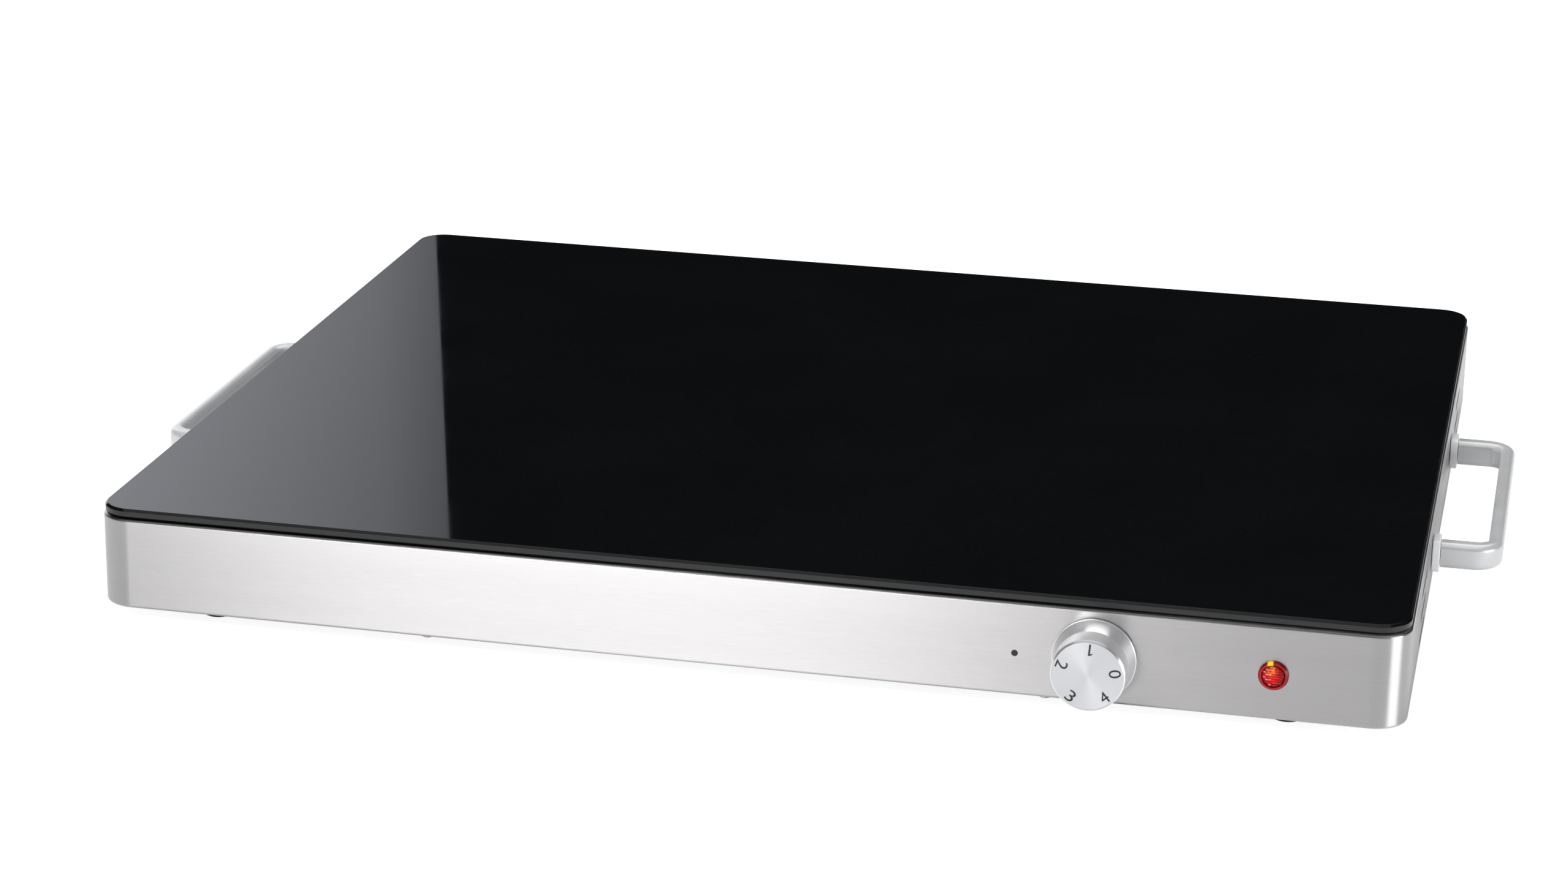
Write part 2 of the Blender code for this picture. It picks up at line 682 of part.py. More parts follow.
def build_feet():
    """Rubber feet, each with a screw sunk in its sole."""
    bore = FOOT_SCREW[0] / 2 + SCREW_CLEARANCE
    pocket = FOOT_SCREW[1] / 2 + SCREW_CLEARANCE
    seat = FOOT_SCREW[2] + 2 * GAP
    profile = [
        (pocket, 0),
        (FOOT_SOLE_DIAMETER / 2 - FOOT_SOLE_ROUND, 0),
        (FOOT_SOLE_DIAMETER / 2, FOOT_SOLE_ROUND),
        (FOOT_TOP_DIAMETER / 2, FOOT_HEIGHT),
        (bore, FOOT_HEIGHT),
        (bore, seat),
        (pocket, seat),
    ]
    mesh = turned("foot", profile, FOOT_SIDES, looped=True)
    mesh.materials.append(material("rubber"))
    for number, (x, y) in enumerate(foot_places(), start=1):
        add_object("foot_%d" % number, mesh, None, (x, y, 0))
        screw("foot_screw_%d" % number, FOOT_SCREW, (x, y, seat - GAP))


def handle_outline():
    """Plan of a handle: legs from the collars out to the grip, +X away from the housing."""
    root = GAP + COLLAR_THICKNESS + GAP
    tip = HANDLE_REACH
    outer = HANDLE_LEG_SPACING / 2 + HANDLE_LEG_WIDTH / 2
    inner = HANDLE_LEG_SPACING / 2 - HANDLE_LEG_WIDTH / 2
    grip = tip - HANDLE_BAR_THICKNESS
    big, small = HANDLE_OUTER_CORNER, HANDLE_INNER_CORNER
    points = [(root, -outer)]
    points += arc((tip - big, big - outer), big, 270, 360, CORNER_STEPS)
    points += arc((tip - big, outer - big), big, 0, 90, CORNER_STEPS)
    points += [(root, outer), (root, inner)]
    points += arc((grip - small, inner - small), small, 90, 0, CORNER_STEPS - 2)
    points += arc((grip - small, small - inner), small, 0, -90, CORNER_STEPS - 2)
    return points + [(root, -inner)]


def build_handles():
    """Carrying handles with their collars and the screws from inside the housing."""
    z = WALL_MIDDLE + HANDLE_RISE
    outline = handle_outline()
    half = HANDLE_HEIGHT / 2
    for turn, label in ((math.pi, "left"), (0, "right")):
        side = round(math.cos(turn))
        mesh = loft("handle_" + label, [raised(outline, -half), raised(outline, half)])
        smooth(mesh)
        handle = add_object("handle_" + label, mesh, "handle_paint",
                            (side * OUT_X, MIDDLE_Y, z), (0, 0, turn))
        rounding = handle.modifiers.new("edge_round", "BEVEL")
        rounding.width = HANDLE_ROUND
        rounding.segments = BEND_STEPS
        rounding.limit_method = "ANGLE"
        rounding.angle_limit = math.radians(SHARP_EDGE)
        for end, place in ((-1, "front"), (1, "rear")):
            y = MIDDLE_Y + end * HANDLE_LEG_SPACING / 2
            build_handle_fixing(handle, label + "_" + place, side, y, z)


def build_handle_fixing(handle, label, side, y, z):
    """One leg's blind hole, its collar and its screw."""
    length = HANDLE_SCREW[3]
    hole = HANDLE_SCREW[0] + 2 * SCREW_CLEARANCE
    sideways = (0, side * math.pi / 2, 0)
    seat = OUT_X - SHEET - GAP
    hole_end = seat + length + GAP
    drill(handle, "leg_bore_" + label, hole, 2 * (hole_end - OUT_X), (side * OUT_X, y, z), sideways)
    width = HANDLE_LEG_WIDTH + 2 * COLLAR_MARGIN
    height = HANDLE_HEIGHT + 2 * COLLAR_MARGIN
    outline = rounded_outline(height / 2, width / 2, COLLAR_CORNER, steps=BEND_STEPS)
    rings = [raised(outline, GAP), raised(outline, GAP + COLLAR_THICKNESS)]
    name = "handle_collar_" + label
    collar = add_object(name, loft(name, rings), "collar_plastic", (side * OUT_X, y, z), sideways)
    smooth(collar.data)
    drill(collar, "collar_bore_" + label, hole, 4 * COLLAR_THICKNESS, (side * OUT_X, y, z),
          sideways)
    screw("handle_screw_" + label, HANDLE_SCREW, (side * seat, y, z), sideways)


def knob_profile():
    """Hollow knob in section about its axis, from the wall outwards."""
    skirt, face = KNOB_SKIRT_DIAMETER / 2, KNOB_FACE_DIAMETER / 2
    back, front = KNOB_STANDOFF, KNOB_REACH
    shoulder = KNOB_SKIRT_DEPTH
    ceiling = front - KNOB_FACE_THICKNESS
    hub_bore = SHAFT_DIAMETER / 2 + 2 * GAP + INSERT_WALL
    hub = hub_bore + KNOB_HUB_WALL
    hub_end = BUSHING_LENGTH + KNOB_HUB_GAP
    return [
        (face - KNOB_WALL, back),
        (skirt, back),
        (skirt, back + KNOB_RIM),
        (face, shoulder),
        (face, front - KNOB_BEVEL),
        (face - KNOB_BEVEL, front),
    ], [
        (hub_bore, ceiling),
        (hub_bore, hub_end),
        (hub, hub_end),
        (hub, ceiling),
        (face - KNOB_WALL, ceiling),
    ]


def build_knob():
    """Knob, its insert and the regulator's shaft, which turn together about the empty's Z."""
    axis = bpy.data.objects.new("knob_axis", None)
    bpy.context.scene.collection.objects.link(axis)
    axis.location = (KNOB_X, FRONT_Y, CONTROL_Z)
    axis.rotation_euler = (math.pi / 2, 0, 0)
    outside, inside = knob_profile()
    rings = [raised(circle_outline(radius, KNOB_SIDES), z) for radius, z in outside]
    hollow = [raised(circle_outline(radius, KNOB_SIDES), z) for radius, z in inside]
    mesh = loft("knob", hollow + rings)
    smooth(mesh)
    add_object("knob", mesh, "turned_aluminium", parent=axis)
    bore = SHAFT_DIAMETER / 2 + GAP
    sleeve = bore + INSERT_WALL
    low, high = BUSHING_LENGTH + KNOB_HUB_GAP, KNOB_REACH - KNOB_FACE_THICKNESS - GAP
    profile = [(bore, low), (sleeve, low), (sleeve, high), (bore, high)]
    add_object("knob_insert", turned("knob_insert", profile, looped=True), "brass", parent=axis)
    add_object("regulator_shaft", shaft_mesh(), "screw_steel", parent=axis)


def shaft_mesh():
    """Shaft with a flat along the length that the knob grips."""
    radius = SHAFT_DIAMETER / 2
    flat_y = radius - SHAFT_FLAT
    whole = circle_outline(radius)
    flatted = [(x, min(y, flat_y)) for x, y in whole]
    flat_start = BUSHING_LENGTH + KNOB_HUB_GAP / 2
    end = KNOB_REACH - KNOB_FACE_THICKNESS - SHAFT_TIP
    rings = [raised(whole, -SHAFT_SINK), raised(whole, flat_start)]
    rings += [raised(flatted, flat_start), raised(flatted, end)]
    mesh = loft("regulator_shaft", rings)
    smooth(mesh)
    return mesh


def build_regulator():
    """Energy regulator behind the front wall, with its bushing through the wall and its nut."""
    across = (math.pi / 2, 0, 0)
    middle = INNER_FRONT + REGULATOR_DEPTH / 2
    mesh = box_mesh("regulator_body", (REGULATOR_WIDTH, REGULATOR_DEPTH, REGULATOR_HEIGHT))
    body = add_object("regulator_body", mesh, "phenolic", (KNOB_X, middle, CONTROL_Z))
    outline = circle_outline(BUSHING_DIAMETER / 2)
    sunk = FRONT_Y - INNER_FRONT - REGULATOR_DEPTH / 2
    rings = [raised(outline, sunk), raised(outline, BUSHING_LENGTH)]
    place = (KNOB_X, FRONT_Y, CONTROL_Z)
    combine(body, add_object("bushing", loft("bushing", rings), None, place, across), "UNION")
    for column in (-1, 1):
        for row in (-1, 1):
            blade = add_object("blade_%d_%d" % (column, row),
                               box_mesh("blade", (BLADE_THICKNESS, 2 * BLADE_LENGTH, BLADE_WIDTH)),
                               None, blade_place(column, row))
            combine(body, blade, "UNION")
    bore = SHAFT_DIAMETER + 2 * RUNNING_FIT
    depth = SHAFT_SINK + GAP
    rings = [raised(circle_outline(bore / 2), z) for z in (-depth, 2 * BUSHING_LENGTH)]
    combine(body, add_object("shaft_bore", loft("shaft_bore", rings), None, place, across))
    per_side = ROUND_SIDES // 6
    flats = hexagon_outline(NUT_ACROSS, per_side)
    hole = circle_outline(BUSHING_DIAMETER / 2 + GAP, ROUND_SIDES)
    low, high = GAP, GAP + NUT_THICKNESS
    rings = [raised(flats, low), raised(flats, high), raised(hole, high), raised(hole, low)]
    mesh = loft("regulator_nut", rings, looped=True)
    add_object("regulator_nut", mesh, "screw_steel", place, across)


def blade_place(column, row):
    """Root of one of the regulator's four connecting blades."""
    x = KNOB_X + column * BLADE_SPREAD / 2
    return (x, INNER_FRONT + REGULATOR_DEPTH, CONTROL_Z + row * BLADE_SPREAD / 2)


def build_lamp():
    """Pilot lamp: lens outside, body and spring clip inside."""
    across = (math.pi / 2, 0, 0)
    place = (LAMP_X, FRONT_Y, CONTROL_Z)
    stem, rim = LENS_STEM_DIAMETER / 2, LENS_DIAMETER / 2
    groove = stem - LENS_RIM / 2
    profile = [
        (stem, -LENS_STEM),
        (stem, GAP),
        (rim, GAP),
        (rim, LENS_RIM / 2 + GAP),
        (rim - LENS_RIM / 3, LENS_RIM + GAP),
        (stem, LENS_RIM + GAP),
        (groove, LENS_RIM / 2 + GAP),
        (groove - LENS_RIM / 3, LENS_RIM + GAP),
        (groove / 2, LENS_DOME - LENS_RIM / 6),
        (groove / 6, LENS_DOME),
    ]
    add_object("lamp_lens", turned("lamp_lens", profile), "lamp_red", place, across)
    back = -LENS_STEM - GAP
    profile = [(stem - GAP, back), (stem - GAP, back - LAMP_BODY_LENGTH)]
    add_object("lamp_body", turned("lamp_body", profile), "nylon", place, across)
    low = -SHEET - GAP
    high = low - LAMP_CLIP_THICKNESS
    inner = stem + GAP
    outer = inner + LAMP_CLIP_WIDTH
    profile = [(inner, low), (outer, low), (outer, high), (inner, high)]
    add_object("lamp_clip", turned("lamp_clip", profile, looped=True), "screw_steel", place, across)


def build_cutout():
    """Thermal cut-out against the spreader, held by a folded clamp."""
    top = SPREADER_UNDER - GAP
    y = cutout_y()
    profile = [
        (CUTOUT_DIAMETER / 2 - 2 * CLAMP_SHEET, top - CUTOUT_HEIGHT),
        (CUTOUT_DIAMETER / 2 - 2 * CLAMP_SHEET, top - CUTOUT_HEIGHT / 2),
        (CUTOUT_DIAMETER / 2, top - CUTOUT_HEIGHT / 2),
        (CUTOUT_DIAMETER / 2, top),
    ]
    add_object("thermal_cutout", turned("thermal_cutout", profile), "phenolic", (CUTOUT_X, y, 0))
    inside, sheet = CUTOUT_DIAMETER / 2 + GAP, CLAMP_SHEET
    outside = inside + sheet
    under = top - CUTOUT_HEIGHT - GAP
    outline = [(-outside, top), (-outside, under - sheet), (outside, under - sheet)]
    outline += [(outside, top), (inside, top), (inside, under), (-inside, under), (-inside, top)]
    mesh = cross_section("cutout_clamp", outline, CLAMP_WIDTH)
    add_object("cutout_clamp", mesh, "galvanised", (CUTOUT_X, y, 0))


def cutout_y():
    """The cut-out sits in the middle of the bay behind the front flange."""
    return (FRONT_Y + FLANGE_WIDTH + TRAY_FRONT) / 2


def build_gland():
    """Cord gland in the rear wall and the nut that holds it from inside."""
    place = (GLAND_X, REAR_Y, WIRING_MIDDLE)
    outwards = (-math.pi / 2, 0, 0)
    bore, thread = GLAND_BORE / 2, GLAND_THREAD / 2
    inner_end = -SHEET - GLAND_INNER
    flange_end = GAP + GLAND_FLANGE_DEPTH
    mouth = GLAND_FLANGE_DEPTH / 3
    profile = [
        (bore, inner_end),
        (thread, inner_end),
        (thread, GAP),
        (GLAND_FLANGE / 2, GAP),
        (GLAND_FLANGE / 2, flange_end),
        (GLAND_CAP / 2, flange_end + mouth),
        (GLAND_CAP / 2, GLAND_REACH - mouth),
        (GLAND_CAP / 2 - mouth, GLAND_REACH),
        (bore, GLAND_REACH),
    ]
    mesh = turned("cord_gland", profile, looped=True)
    add_object("cord_gland", mesh, "phenolic", place, outwards)
    flats = hexagon_outline(GLAND_NUT_ACROSS, ROUND_SIDES // 6)
    hole = circle_outline(thread + GAP)
    high = -SHEET - GAP
    low = high - GLAND_NUT_THICKNESS
    rings = [raised(flats, low), raised(flats, high), raised(hole, high), raised(hole, low)]
    mesh = loft("gland_nut", rings, looped=True)
    add_object("gland_nut", mesh, "nylon", place, outwards)


def build_terminals():
    """Terminal block and earth stud on the base plate, near the gland."""
    x, y = GLAND_X, REAR_Y - BLOCK_SETBACK
    floor = BASE_TOP + GAP
    mesh = box_mesh("terminal_block", (BLOCK_WIDTH, BLOCK_DEPTH, BLOCK_HEIGHT))
    block = add_object("terminal_block", mesh, "nylon", (x, y, floor + BLOCK_HEIGHT / 2))
    for way in range(BLOCK_WAYS):
        hole_x = x + BLOCK_WIDTH / BLOCK_WAYS * (way - (BLOCK_WAYS - 1) / 2)
        where = (hole_x, y, floor + BLOCK_HEIGHT)
        drill(block, "terminal_hole_%d" % way, BLOCK_HOLE, 2 * BLOCK_HOLE_DEPTH, where)
    stud, nut = EARTH_STUD_DIAMETER / 2, EARTH_NUT_DIAMETER / 2
    profile = [
        (nut, floor),
        (nut, floor + EARTH_NUT_HEIGHT),
        (stud, floor + EARTH_NUT_HEIGHT),
        (stud, floor + EARTH_STUD_HEIGHT),
    ]
    mesh = turned("earth_stud", profile, SCREW_SIDES)
    add_object("earth_stud", mesh, "brass", (x - EARTH_OFFSET, y, 0))


def build_wires():
    """Wires inside the case, each from face to face of what it joins."""
    block_y = REAR_Y - BLOCK_SETBACK
    block_front = block_y - BLOCK_DEPTH / 2 - GAP
    block_z = BASE_TOP + GAP + BLOCK_HEIGHT / 2
    way = BLOCK_WIDTH / BLOCK_WAYS
    low = BASE_TOP + 2 * WIRE_DIAMETER
    bay_low = TRAY_UNDER - 2 * WIRE_DIAMETER
    blade_end = INNER_FRONT + REGULATOR_DEPTH + BLADE_LENGTH + GAP
    clear_of_blade = blade_end + WIRE_STRAIGHT
    upper, lower = blade_place(-1, 1), blade_place(1, -1)
    live_blade, feed_blade = blade_place(-1, -1), blade_place(1, 1)
    bay_back = TRAY_FRONT - 2 * WIRE_DIAMETER
    pin_y = TUBE_END_Y - PIN_LENGTH - 2 * GAP
    cut_low = SPREADER_UNDER - CUTOUT_HEIGHT - 3 * GAP - CLAMP_SHEET
    forward = TRAY_FRONT + RAIL_SETBACK

    tube("live_wire", smooth_route([
        (GLAND_X, block_front, block_z),
        (GLAND_X, block_front - WIRE_STRAIGHT, block_z),
        (GLAND_X - way, block_front - BLOCK_LEAD, low),
        (GLAND_X - 2 * way, forward, low),
        (live_blade[0] - way / 2, bay_back, low + WIRE_DIAMETER),
        (live_blade[0], clear_of_blade, live_blade[2]),
        (live_blade[0], blade_end, live_blade[2]),
    ]), WIRE_DIAMETER, "wire_brown")
    tube("neutral_wire", smooth_route([
        (GLAND_X - way, block_front, block_z),
        (GLAND_X - way, block_front - WIRE_STRAIGHT, block_z),
        (GLAND_X - 3 * way, block_front - BLOCK_LEAD, low),
        (GLAND_X - 4 * way, forward, low),
        (KNOB_X - 4 * way, bay_back, low),
        (0, bay_back, low),
        (-TUBE_HALF_SPAN / 2, bay_back, low),
        (-TUBE_HALF_SPAN, pin_y - way, WALL_MIDDLE),
        (-TUBE_HALF_SPAN, pin_y - WIRE_STRAIGHT, TUBE_AXIS),
        (-TUBE_HALF_SPAN, pin_y, TUBE_AXIS),
    ], 2 * WIRE_STEPS), WIRE_DIAMETER, "wire_blue")
    behind = block_y + BLOCK_DEPTH / 2 + GAP
    nut_side = block_y + EARTH_NUT_DIAMETER / 2 + GAP
    nut_z = BASE_TOP + GAP + EARTH_NUT_HEIGHT / 2
    tube("earth_wire", smooth_route([
        (GLAND_X - way, behind, block_z),
        (GLAND_X - way, behind + WIRE_STRAIGHT, block_z),
        (GLAND_X - way * 1.5, behind + 2 * WIRE_STRAIGHT, (block_z + nut_z) / 2),
        (GLAND_X - EARTH_OFFSET, nut_side + 2 * WIRE_DIAMETER, nut_z),
        (GLAND_X - EARTH_OFFSET, nut_side, nut_z),
    ]), WIRE_DIAMETER, "wire_green")
    tube("cutout_wire", smooth_route([
        (upper[0], blade_end, upper[2]),
        (upper[0], clear_of_blade, upper[2]),
        (upper[0] - way, bay_back, upper[2] - way / 2),
        ((KNOB_X + CUTOUT_X) / 2, bay_back, bay_low),
        (CUTOUT_X + way / 3, cutout_y() + way / 3, cut_low - way / 2),
        (CUTOUT_X + way / 3, cutout_y(), cut_low - WIRE_DIAMETER / 2),
    ]), WIRE_DIAMETER, "wire_brown")
    tube("heater_wire", smooth_route([
        (feed_blade[0], blade_end, feed_blade[2]),
        (feed_blade[0], clear_of_blade, feed_blade[2]),
        (feed_blade[0] + way, bay_back, feed_blade[2]),
        (TUBE_HALF_SPAN - way, bay_back - way, WALL_MIDDLE),
        (TUBE_HALF_SPAN, pin_y - way, TUBE_AXIS - way / 4),
        (TUBE_HALF_SPAN, pin_y - WIRE_STRAIGHT, TUBE_AXIS),
        (TUBE_HALF_SPAN, pin_y, TUBE_AXIS),
    ]), WIRE_DIAMETER, "wire_brown")
    lamp_back = FRONT_Y + LENS_STEM + LAMP_BODY_LENGTH + 2 * GAP
    tube("lamp_wire", smooth_route([
        (LAMP_X, lamp_back, CONTROL_Z - 2 * LAMP_WIRE_DIAMETER),
        (LAMP_X - way / 2, bay_back - way / 2, CONTROL_Z - way / 2),
        ((LAMP_X + KNOB_X) / 2, bay_back, low + way / 3),
        (lower[0] + way / 2, bay_back, lower[2]),
        (lower[0], clear_of_blade, lower[2]),
        (lower[0], blade_end, lower[2]),
    ]), LAMP_WIRE_DIAMETER, "wire_blue")


def main():
    """Build the whole hot plate."""
    clear_scene()
    build_glass()
    build_seal()
    build_spreader()
    build_element()
    build_pad()
    build_tray()
    build_rails()
    build_housing()
    build_base()
    build_feet()
    build_handles()
    build_knob()
    build_regulator()
    build_lamp()
    build_cutout()
    build_gland()
    build_terminals()
    build_wires()


main()
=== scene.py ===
# %% [markdown]
# # A warming hot plate, piece by piece
# The object is a long black glass warming plate on a brushed steel surround, with one turned
# knob, a red pilot lamp and a carrying handle at each end. An engineering model of it is already
# packed, and it fixes every size. This lesson loads that model as a frame and puts finely made
# pieces and finishes around it.

# %% Load the frame
import json
import math

import bmesh
import bpy
from mathutils import Matrix, Vector


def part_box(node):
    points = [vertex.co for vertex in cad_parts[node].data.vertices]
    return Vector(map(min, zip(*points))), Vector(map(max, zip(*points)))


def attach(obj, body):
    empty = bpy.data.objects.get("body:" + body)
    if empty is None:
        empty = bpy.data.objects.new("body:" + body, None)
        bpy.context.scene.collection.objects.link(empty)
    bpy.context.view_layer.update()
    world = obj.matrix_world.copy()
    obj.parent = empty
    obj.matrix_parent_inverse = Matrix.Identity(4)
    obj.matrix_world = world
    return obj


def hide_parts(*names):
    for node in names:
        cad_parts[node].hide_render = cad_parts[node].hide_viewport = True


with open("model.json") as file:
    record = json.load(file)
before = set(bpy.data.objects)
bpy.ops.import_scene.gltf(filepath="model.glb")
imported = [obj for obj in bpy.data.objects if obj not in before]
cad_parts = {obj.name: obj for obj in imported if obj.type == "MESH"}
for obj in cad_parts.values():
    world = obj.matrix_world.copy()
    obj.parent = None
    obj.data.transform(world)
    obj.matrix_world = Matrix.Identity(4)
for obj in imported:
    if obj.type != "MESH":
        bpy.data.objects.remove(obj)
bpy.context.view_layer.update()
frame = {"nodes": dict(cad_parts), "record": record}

MM = 0.001
cad_slots = {part["node"]: part["material_slot"] for part in frame["record"]["subparts"]}

# %% [markdown]
# ## Camera
# The camera stands a little above the front edge and has a long lens, which keeps the sides of
# the plate nearly parallel. It is set from its angles and its offset from the middle of the
# glass. Its three axes are written as the columns of a matrix, because that gives the small roll
# as well, which aiming at a target would not.

# %% Camera
glass_low, glass_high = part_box("glass_top")
housing_low, housing_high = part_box("housing")
glass_middle = (glass_low + glass_high) / 2
target = Vector((glass_middle.x, glass_middle.y, glass_high.z))

CAMERA_AZIMUTH = 0.2147857572
CAMERA_ELEVATION = 0.3200718634
CAMERA_ROLL = 0.016372262
CAMERA_OFFSET = Vector((0.35798, -1.78035, 0.58191))
LENS_MM = 86.6
SENSOR_MM = 36.0


def camera_axes(azimuth, elevation, roll):
    """Right, up and back axes of a camera that stands at those angles round the object."""
    back = Vector((math.sin(azimuth) * math.cos(elevation),
                   -math.cos(azimuth) * math.cos(elevation), math.sin(elevation)))
    right = Vector((0, 0, 1)).cross(back).normalized()
    up = back.cross(right)
    tilted_right = right * math.cos(roll) + up * math.sin(roll)
    return tilted_right, back.cross(tilted_right), back


def linked(name, data):
    """New object with that data, in the scene."""
    made = bpy.data.objects.new(name, data)
    bpy.context.scene.collection.objects.link(made)
    return made


camera_data = bpy.data.cameras.new("studio_camera")
camera_data.lens = LENS_MM
camera_data.sensor_width = SENSOR_MM
camera = linked("studio_camera", camera_data)
axes = Matrix(camera_axes(CAMERA_AZIMUTH, CAMERA_ELEVATION, CAMERA_ROLL)).transposed()
camera.matrix_world = Matrix.Translation(target + CAMERA_OFFSET) @ axes.to_4x4()
bpy.context.scene.camera = camera
print("camera at", [round(value, 3) for value in camera.location])

# %% [markdown]
# ## Meshes from rings
# Almost every piece here is either folded, ground or turned, so its shape is one section line
# carried round an outline. These helpers make the outline, round the section's corners as a
# press or a grinding wheel would, and join the rings to a mesh. Extra points just beside each
# bend keep the flat faces truly flat when they are shaded smooth.


# %% Helpers for outlines and sections
def arc(centre, radius, start, end, steps):
    """Points on an arc between two angles in degrees."""
    angles = [math.radians(start + (end - start) * step / steps) for step in range(steps + 1)]
    return [(centre[0] + radius * math.cos(a), centre[1] + radius * math.sin(a)) for a in angles]


def rounded_rectangle(half_x, half_y, corner, centre=(0.0, 0.0), steps=12, guard=1.0 * MM):
    """Outline with round corners, and a guard point on each straight beside each corner."""
    points = []
    for start, sign_x, sign_y in ((0, 1, 1), (90, -1, 1), (180, -1, -1), (270, 1, -1)):
        middle = (centre[0] + sign_x * (half_x - corner), centre[1] + sign_y * (half_y - corner))
        bend = arc(middle, corner, start, start + 90, steps)
        first = Vector((-math.sin(math.radians(start)), math.cos(math.radians(start))))
        last = Vector((-math.cos(math.radians(start)), -math.sin(math.radians(start))))
        points.append(tuple(Vector(bend[0]) - first * guard))
        points += bend
        points.append(tuple(Vector(bend[-1]) + last * guard))
    return points


def rounded_rings(section, half_x, half_y, corner, centre, steps):
    """Rounded outlines about a middle, one for each (inset, height) point of a section."""
    rings = []
    for inset, height in section:
        outline = rounded_rectangle(half_x - inset, half_y - inset, corner - inset,
                                    (centre.x, centre.y), steps)
        rings.append([(x, y, height) for x, y in outline])
    return rings


def circle(radius, sides):
    """Round outline."""
    return arc((0, 0), radius, 0, 360 * (sides - 1) / sides, sides - 1)


def soften(points, radius, steps=4, closed=False):
    """Round each corner of a section line, with a guard point on both sides of each bend."""
    line = []
    for index, point in enumerate(points):
        if not closed and index in (0, len(points) - 1):
            line.append(tuple(point))
            continue
        here = Vector(point)
        back = Vector(points[index - 1]) - here
        onward = Vector(points[(index + 1) % len(points)]) - here
        turn = back.angle(onward)
        if math.pi - turn < math.radians(4):
            line.append(tuple(point))
            continue
        reach = min(radius / math.tan(turn / 2), 0.4 * back.length, 0.4 * onward.length)
        fillet = reach * math.tan(turn / 2)
        toward = (back.normalized() + onward.normalized()).normalized()
        middle = here + toward * (fillet / math.sin(turn / 2))
        start, end = here + back.normalized() * reach, here + onward.normalized() * reach
        sweep = (start - middle).angle(end - middle)
        line.append(tuple(start + back.normalized() * reach * 0.15))
        for step in range(steps + 1):
            share = step / steps
            spoke = (math.sin((1 - share) * sweep) * (start - middle)
                     + math.sin(share * sweep) * (end - middle)) / math.sin(sweep)
            line.append(tuple(middle + spoke))
        line.append(tuple(end + onward.normalized() * reach * 0.15))
    return line


# %% Helpers for meshes
SMOOTH_BELOW = math.radians(32)


def loft(name, rings, looped=False, capped=True):
    """Mesh through rings of equally many points."""
    bm = bmesh.new()
    loops = [[bm.verts.new(point) for point in ring] for ring in rings]
    pairs = list(zip(loops, loops[1:]))
    if looped:
        pairs.append((loops[-1], loops[0]))
    elif capped:
        bm.faces.new(reversed(loops[0]))
        bm.faces.new(loops[-1])
    for low, high in pairs:
        for here in range(len(low)):
            there = (here + 1) % len(low)
            bm.faces.new((low[here], low[there], high[there], high[here]))
    bmesh.ops.recalc_face_normals(bm, faces=bm.faces)
    mesh = bpy.data.meshes.new(name)
    bm.to_mesh(mesh)
    bm.free()
    return smoothed(mesh)


def smoothed(mesh, below=SMOOTH_BELOW):
    """Smooth shading with the edges above that angle kept crisp."""
    mesh.shade_smooth()
    mesh.set_sharp_from_angle(angle=below)
    return mesh


def turned(name, profile, sides=96, looped=False):
    """Solid of revolution about Z from (radius, height) points."""
    rings = [[(x, y, height) for x, y in circle(radius, sides)] for radius, height in profile]
    return loft(name, rings, looped)


def joined(name, meshes):
    """One mesh out of several."""
    bm = bmesh.new()
    for mesh in meshes:
        bm.from_mesh(mesh)
    whole = bpy.data.meshes.new(name)
    bm.to_mesh(whole)
    bm.free()
    return whole


def moved(mesh, matrix):
    """The same mesh, moved by a matrix."""
    mesh.transform(matrix)
    return mesh


def punched(mesh, tools):
    """The mesh with a list of closed tool meshes cut out of it by one exact boolean."""
    blank = linked("blank", mesh)
    punch = linked("punch", joined("punch", tools))
    step = blank.modifiers.new("cut", "BOOLEAN")
    step.operation = "DIFFERENCE"
    step.solver = "EXACT"
    step.object = punch
    shape = blank.evaluated_get(bpy.context.evaluated_depsgraph_get())
    cut = bpy.data.meshes.new_from_object(shape)
    cut.name = mesh.name
    for item in (blank, punch):
        bpy.data.objects.remove(item)
    return smoothed(cut)


def place(name, mesh, finish, body, replaced, location=(0, 0, 0), rotation=(0, 0, 0)):
    """Put a piece in the scene with its finish, its body and the nodes that it stands for."""
    piece = linked(name, mesh)
    piece.location = location
    piece.rotation_euler = rotation
    mesh.materials.clear()
    mesh.materials.append(finish)
    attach(piece, body)
    if replaced:
        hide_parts(*replaced)
    print(name, "has", len(mesh.polygons), "faces")
    return piece


FRONTWARDS = (math.pi / 2, 0, 0)
REARWARDS = (-math.pi / 2, 0, 0)

# %% [markdown]
# ## Shared surface effects
# Real finishes are never one flat colour. Sheet metal carries drawn lines from the brushing
# belt, turned parts carry rings from the lathe, moulded and painted parts have a fine texture,
# and dust settles on whatever faces up. Each effect is built once as a node group, and each
# material sets its own values.


# %% Helper for shader nodes
def node(tree, kind, inputs=None, **settings):
    """Add a shader node, set its options, and fill its inputs with values or other sockets."""
    made = tree.nodes.new("ShaderNode" + kind)
    for key, value in settings.items():
        setattr(made, key, value)
    for key, value in (inputs or {}).items():
        if isinstance(value, bpy.types.NodeSocket):
            tree.links.new(value, made.inputs[key])
        else:
            made.inputs[key].default_value = value
    return made


def new_group(name, inputs, outputs):
    """Empty node group with named sockets. Gives its tree and its input node."""
    tree = bpy.data.node_groups.new(name, "ShaderNodeTree")
    for key, kind, value in inputs:
        socket = tree.interface.new_socket(key, in_out="INPUT", socket_type="NodeSocket" + kind)
        socket.default_value = value
    for key, kind in outputs:
        tree.interface.new_socket(key, in_out="OUTPUT", socket_type="NodeSocket" + kind)
    return tree, tree.nodes.new("NodeGroupInput")


def finish_group(tree, values):
    """Send sockets to the group's outputs."""
    end = tree.nodes.new("NodeGroupOutput")
    for key, socket in values.items():
        tree.links.new(socket, end.inputs[key])
    return tree


